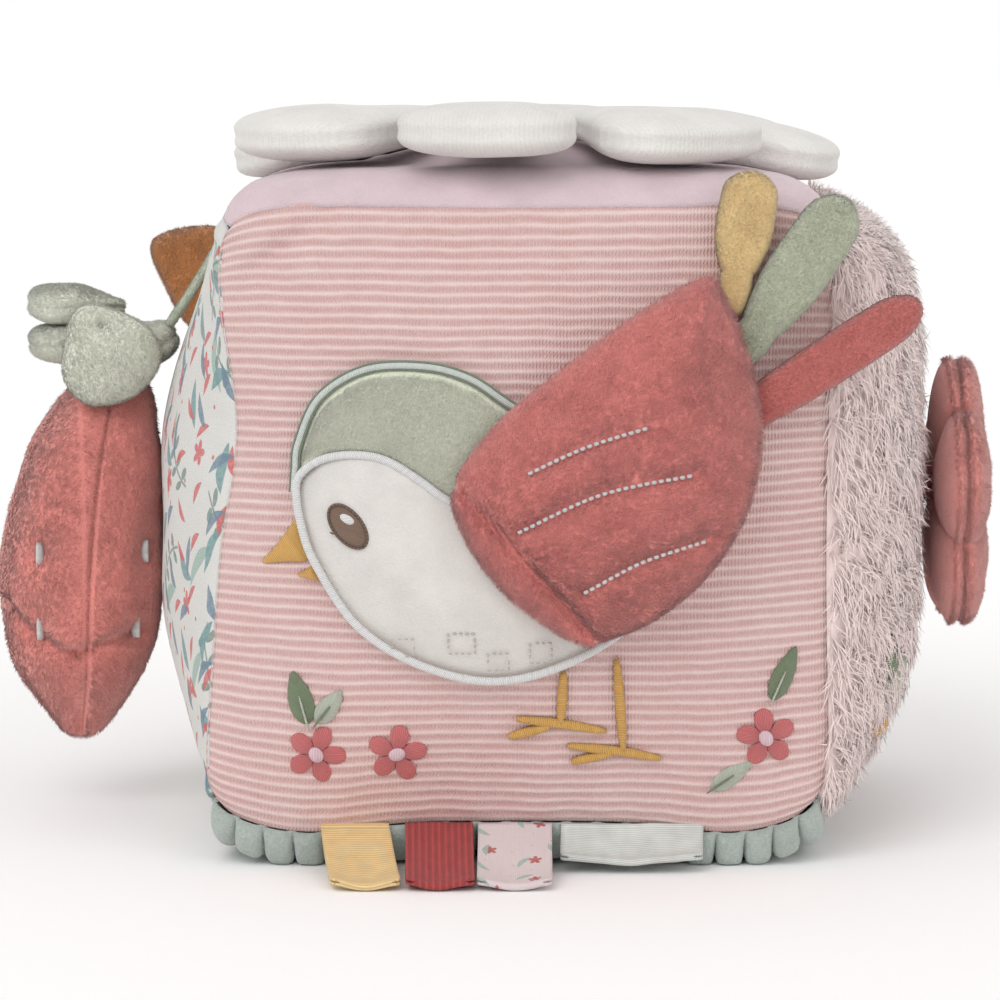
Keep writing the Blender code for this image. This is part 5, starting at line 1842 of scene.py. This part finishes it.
def caramel_flap():
    foot, length, width, thick = 0.130, 0.033, 0.034, 0.0055
    turn = math.radians(25.0)
    out = Vector((-math.cos(turn), math.sin(turn), 0.0))
    away = Vector((math.sin(turn), math.cos(turn), 0.0))
    corner = block_skin(-1.0, 1.0, (foot - block_middle) / seam_half)
    origin = corner + out * 0.0006
    shares = [(0, -0.46), (0.30, -0.50), (0.66, -0.26), (0.92, 0.12), (1, 0.30), (0.93, 0.42),
              (0.62, 0.50), (0.28, 0.50), (0, 0.46), (-0.03, 0)]
    outline = smooth_loop([(length * u, width * v) for u, v in shares], 96)

    def place(flat, height, share):
        gap = rim_distance(flat, outline)
        edge = round_edge(gap, 0.004)
        crease = 0.0009 * hump(flat.x - flat.y * 0.6 - 0.010, 0.0022)
        wave = 0.0012 * uneven(flat.x * 60, flat.y * 60, 2.0)
        rise = math.copysign((thick / 2 + 0.0006) * edge, height) + wave - crease * (height > 0)
        return origin + out * flat.x + Vector((0, 0, flat.y)) + away * rise

    mesh_maker, flats = pillow(outline, (length * 0.45, 0.0), 44, place, 0.7, 0.7)
    surface = plush("caramel_plush", look().caramel, 0.7)
    made = piece("flap", mesh_maker, surface, None, "caramel_plush", ["caramel_flap"], flats)
    grow_pile(
        made, count=24000, length=0.0012, width=0.00024, comb=(-0.6, 0.0, -0.7), lean=0.7,
        spread=0.3, clump=0.6, clump_size=0.005, seed=14,
    )
    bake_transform(made)


def fur_sprig():
    """A pair of small leaves and a bud stitched on the fur panel."""
    def on_fur(y, z, rise):
        point = side_point("right", y / seam_half, (z - block_middle) / seam_half)
        return point + Vector((1.0, 0.0, 0.0)) * rise

    # Name, colour, the middle's y and z, turn in degrees, half length, half width and slot
    shades = (
        ("fur_leaf_1", look().leaf_dark, (-0.0530, 0.0460), 70.0, 0.0068, 0.0030, "green_thread"),
        ("fur_leaf_2", look().leaf_light, (-0.0440, 0.0430), 50.0, 0.0068, 0.0030, "green_thread"),
        ("fur_bud", look().ochre, (-0.0500, 0.0300), 80.0, 0.0030, 0.0024, "ochre_thread"),
    )
    for name, shade, middle, turn, long, short, slot in shades:
        surface = satin_stitch(name + "_thread", shade, 0.0005)
        outline = [Vector(point) for point in ellipse(middle, long, short, turn, 32)]
        lean = math.radians(turn)
        axis = Vector((math.cos(lean), math.sin(lean)))

        def place(flat, height, share):
            return on_fur(flat.x, flat.y, (0.0044 - 0.002 * share ** 3) if height > 0 else 0.0)

        mesh_maker, flats = pillow(outline, middle, 14, place, 0.8, 0.7)
        flats = [((Vector(flat) - Vector(middle)).dot(axis), flat[1]) for flat in flats]
        piece(name, mesh_maker, surface, "block", slot, (), flats)


# Colours, which can be changed in the sidebar before a piece is built

def colour(name, description, default):
    return bpy.props.FloatVectorProperty(
        name=name, description=description, default=default, size=3, min=0.0, max=1.0,
        subtype="COLOR_GAMMA",
    )


class FabricBlockColours(bpy.types.PropertyGroup):
    knit_ridge: colour("Knit ridges", "Pale ridges of the front knit", (0.888, 0.805, 0.792))
    knit_hollow: colour("Knit rows", "Darker rows between the ridges", (0.828, 0.670, 0.655))
    lilac: colour("Top velour", "Velour of the top panel", (0.850, 0.770, 0.795))
    print_ground: colour("Print ground", "Ground of the printed cotton", (0.875, 0.870, 0.855))
    print_leaf: colour("Print leaves", "Sage leaves of the print", (0.620, 0.720, 0.680))
    print_stem: colour("Print stems", "Grey-green sprigs of the print", (0.480, 0.560, 0.530))
    print_bloom: colour("Print blooms", "Rose blooms of the print", (0.800, 0.400, 0.400))
    print_berry: colour("Print dots", "Rose dots of the print", (0.780, 0.450, 0.430))
    print_teal: colour("Print teal", "Small grey-green leaves of the print", (0.450, 0.600, 0.610))
    print_blue: colour("Print blue", "Grey-blue leaves of the print", (0.440, 0.530, 0.600))
    back_cotton: colour("Back cotton", "Cotton of the back panel", (0.820, 0.620, 0.620))
    fur_pink: colour("Fur", "Long pile of the right panel", (0.985, 0.885, 0.870))
    sage_rib: colour("Ribbed bottom", "Padded ribs of the bottom", (0.745, 0.790, 0.760))
    fibre: colour("Filling", "Polyester filling", (0.94, 0.94, 0.92))
    case: colour("Rattle case", "Plastic case of the rattle", (0.92, 0.91, 0.88))
    ball: colour("Rattle ball", "Steel ball of the rattle", (0.75, 0.75, 0.77))
    cream: colour("Breast", "Cream plush of the bird", (0.872, 0.855, 0.838))
    sage: colour("Hood", "Sage plush of the bird's hood", (0.922, 0.952, 0.843))
    border_cream: colour("Cream thread", "Borders, quilting and seeds", (0.965, 0.960, 0.950))
    border_beige: colour("Beige thread", "Faint stitches low on the breast", (0.830, 0.795, 0.745))
    border_mint: colour("Mint thread", "Border of the hood", (0.870, 0.895, 0.870))
    border_edge: colour("Dark green thread", "Edges of the hood's border", (0.540, 0.590, 0.520))
    eye_brown: colour("Eye", "Brown thread of the eye", (0.520, 0.425, 0.365))
    eye_rim: colour("Eye rim", "Dark thread round the eye", (0.430, 0.355, 0.310))
    ochre: colour("Ochre thread", "Beak and legs", (0.860, 0.670, 0.375))
    flower_rose: colour("Rose thread", "Small stitched flowers", (0.820, 0.455, 0.460))
    flower_heart: colour("Pale thread", "Middle of the small flowers", (0.940, 0.810, 0.845))
    leaf_dark: colour("Dark leaves", "Dark stitched leaves", (0.505, 0.560, 0.445))
    leaf_light: colour("Light leaves", "Light stitched leaves", (0.775, 0.800, 0.735))
    rose: colour("Wing", "Rose plush of the wing", (0.905, 0.538, 0.515))
    rose_deep: colour("Rose tab", "Rose plush of the tail", (0.810, 0.455, 0.432))
    yellow: colour("Yellow plush", "Tail tab and the flower's button", (1.000, 0.815, 0.585))
    olive: colour("Sage tab", "Sage plush of the tail", (0.730, 0.748, 0.655))
    satin_yellow: colour("Yellow satin", "Yellow ribbon tag", (0.930, 0.812, 0.590))
    ribbon_red: colour("Red ribbon", "Dark red ribbon tag", (0.700, 0.292, 0.290))
    ribbon_pink: colour("Pink ribbon", "Ground of the printed tag", (0.885, 0.830, 0.832))
    ribbon_white: colour("White ribbon", "Bare white label", (0.835, 0.845, 0.828))
    petal: colour("Petals", "Off-white velour of the top flower", (0.908, 0.898, 0.882))
    berry: colour("Strawberry", "Plush of the strawberry", (0.910, 0.555, 0.520))
    calyx: colour("Strawberry leaves", "Plush of the strawberry's leaves", (0.955, 0.980, 0.865))
    tape: colour("Tape", "Strap of the strawberry", (0.800, 0.830, 0.740))
    flower: colour("Rose flower", "Plush of the flower on the fur", (0.990, 0.610, 0.580))
    caramel: colour("Flap", "Caramel plush of the flap", (0.845, 0.545, 0.290))


# The stage

def stage():
    """The pale floor, the soft lights and the camera."""
    scene = bpy.context.scene
    mesh_maker = bmesh.new()
    bmesh.ops.create_grid(mesh_maker, x_segments=1, y_segments=1, size=6.0)
    floor_mesh = bpy.data.meshes.new("floor")
    mesh_maker.to_mesh(floor_mesh)
    mesh_maker.free()
    floor = bpy.data.objects.new("floor", floor_mesh)
    scene.collection.objects.link(floor)
    floor_surface = Surface("floor_white", roughness=0.9)
    floor_surface.paint((1.0, 1.0, 1.0))
    floor_mesh.materials.append(floor_surface.material)

    world = bpy.data.worlds.new("studio")
    scene.world = world
    world.use_nodes = True
    tree = world.node_tree
    soft = tree.nodes["Background"]
    soft.inputs["Color"].default_value = (1.0, 0.995, 0.985, 1.0)
    soft.inputs["Strength"].default_value = 0.80
    white = tree.nodes.new("ShaderNodeBackground")
    white.inputs["Color"].default_value = (1.0, 1.0, 1.0, 1.0)
    rays = tree.nodes.new("ShaderNodeLightPath")
    seen = rays.outputs["Is Camera Ray"]
    for way in ("Is Glossy Ray", "Is Transmission Ray"):
        either = tree.nodes.new("ShaderNodeMath")
        either.operation = "MAXIMUM"
        tree.links.new(seen, either.inputs[0])
        tree.links.new(rays.outputs[way], either.inputs[1])
        seen = either.outputs[0]
    choice = tree.nodes.new("ShaderNodeMixShader")
    tree.links.new(seen, choice.inputs[0])
    tree.links.new(soft.outputs[0], choice.inputs[1])
    tree.links.new(white.outputs[0], choice.inputs[2])
    tree.links.new(choice.outputs[0], tree.nodes["World Output"].inputs["Surface"])

    for name, pitch, turn, power in (("key", 48.0, -28.0, 0.85), ("fill", 62.0, 40.0, 0.30)):
        light = bpy.data.lights.new(name, "SUN")
        light.energy = power
        light.angle = math.radians(40.0)
        lamp = bpy.data.objects.new(name, light)
        scene.collection.objects.link(lamp)
        lamp.rotation_euler = (math.radians(pitch), 0.0, math.radians(turn))

    camera = bpy.data.objects.new("camera", bpy.data.cameras.new("camera"))
    camera.data.lens = 148.7
    camera.data.sensor_width = 36.0
    camera.data.clip_start = 0.05
    camera.location = (-0.0068, -1.0664, 0.2217)
    camera.rotation_euler = (math.radians(82.5), 0.0, 0.0)
    scene.collection.objects.link(camera)
    scene.camera = camera
    scene.view_settings.view_transform = "Standard"


# Operators and the sidebar panel

class BuildPanels(bpy.types.Operator):
    """Builds the six cloth panels, the filling and the rattle's materials"""
    bl_idname = "fabric_block.panels"
    bl_label = "Panels and filling"

    def execute(self, context):
        for make in (front_panel, left_panel, back_panel, top_panel, right_panel, bottom_panel,
                     stuffing, rattle):
            make()
        return {"FINISHED"}


class BuildBird(bpy.types.Operator):
    """Builds the bird sewn on the front, with its eye, beak and legs"""
    bl_idname = "fabric_block.bird"
    bl_label = "Bird"

    def execute(self, context):
        bird()
        return {"FINISHED"}


class BuildWing(bpy.types.Operator):
    """Builds the stuffed wing with its quilting lines"""
    bl_idname = "fabric_block.wing"
    bl_label = "Wing"

    def execute(self, context):
        wing()
        return {"FINISHED"}


class BuildTail(bpy.types.Operator):
    """Builds the three plush tail tabs"""
    bl_idname = "fabric_block.tail"
    bl_label = "Tail tabs"

    def execute(self, context):
        tail()
        return {"FINISHED"}


class BuildStitching(bpy.types.Operator):
    """Builds the small stitched flowers and leaves"""
    bl_idname = "fabric_block.stitching"
    bl_label = "Small flowers"

    def execute(self, context):
        small_flowers()
        fur_sprig()
        return {"FINISHED"}


class BuildRibbons(bpy.types.Operator):
    """Builds the four ribbon tags in the front bottom seam"""
    bl_idname = "fabric_block.ribbons"
    bl_label = "Ribbon tags"

    def execute(self, context):
        ribbons()
        return {"FINISHED"}


class BuildTopFlower(bpy.types.Operator):
    """Builds the eight padded petals and their button"""
    bl_idname = "fabric_block.top_flower"
    bl_label = "Top flower"

    def execute(self, context):
        top_flower()
        return {"FINISHED"}


class BuildStrawberry(bpy.types.Operator):
    """Builds the strawberry, its leaves and its strap"""
    bl_idname = "fabric_block.strawberry"
    bl_label = "Strawberry"

    def execute(self, context):
        strawberry()
        return {"FINISHED"}


class BuildSides(bpy.types.Operator):
    """Builds the rose flower on the right and the flap on the left"""
    bl_idname = "fabric_block.sides"
    bl_label = "Rose flower and flap"

    def execute(self, context):
        rose_flower()
        caramel_flap()
        return {"FINISHED"}


class BuildStage(bpy.types.Operator):
    """Builds the floor, the lights and the camera"""
    bl_idname = "fabric_block.stage"
    bl_label = "Stage"

    def execute(self, context):
        stage()
        return {"FINISHED"}


steps = (BuildStage, BuildPanels, BuildBird, BuildWing, BuildTail, BuildStitching, BuildRibbons,
         BuildTopFlower, BuildStrawberry, BuildSides)


class FabricBlockSidebar(bpy.types.Panel):
    """Lists the steps that build the block"""
    bl_idname = "VIEW3D_PT_fabric_block"
    bl_label = "Fabric Block"
    bl_space_type = "VIEW_3D"
    bl_region_type = "UI"
    bl_category = "Fabric Block"

    def draw(self, context):
        for step in steps:
            self.layout.operator(step.bl_idname)
        for name in FabricBlockColours.__annotations__:
            self.layout.prop(context.scene.fabric_block, name)


def register():
    bpy.utils.register_class(FabricBlockColours)
    bpy.types.Scene.fabric_block = bpy.props.PointerProperty(type=FabricBlockColours)
    for step in steps:
        bpy.utils.register_class(step)
    bpy.utils.register_class(FabricBlockSidebar)


def unregister():
    bpy.utils.unregister_class(FabricBlockSidebar)
    for step in reversed(steps):
        bpy.utils.unregister_class(step)
    del bpy.types.Scene.fabric_block
    bpy.utils.unregister_class(FabricBlockColours)


def main():
    register()
    for step in steps:
        operator = getattr(bpy.ops.fabric_block, step.bl_idname.split(".")[1])
        operator()


if __name__ == "__main__":
    main()
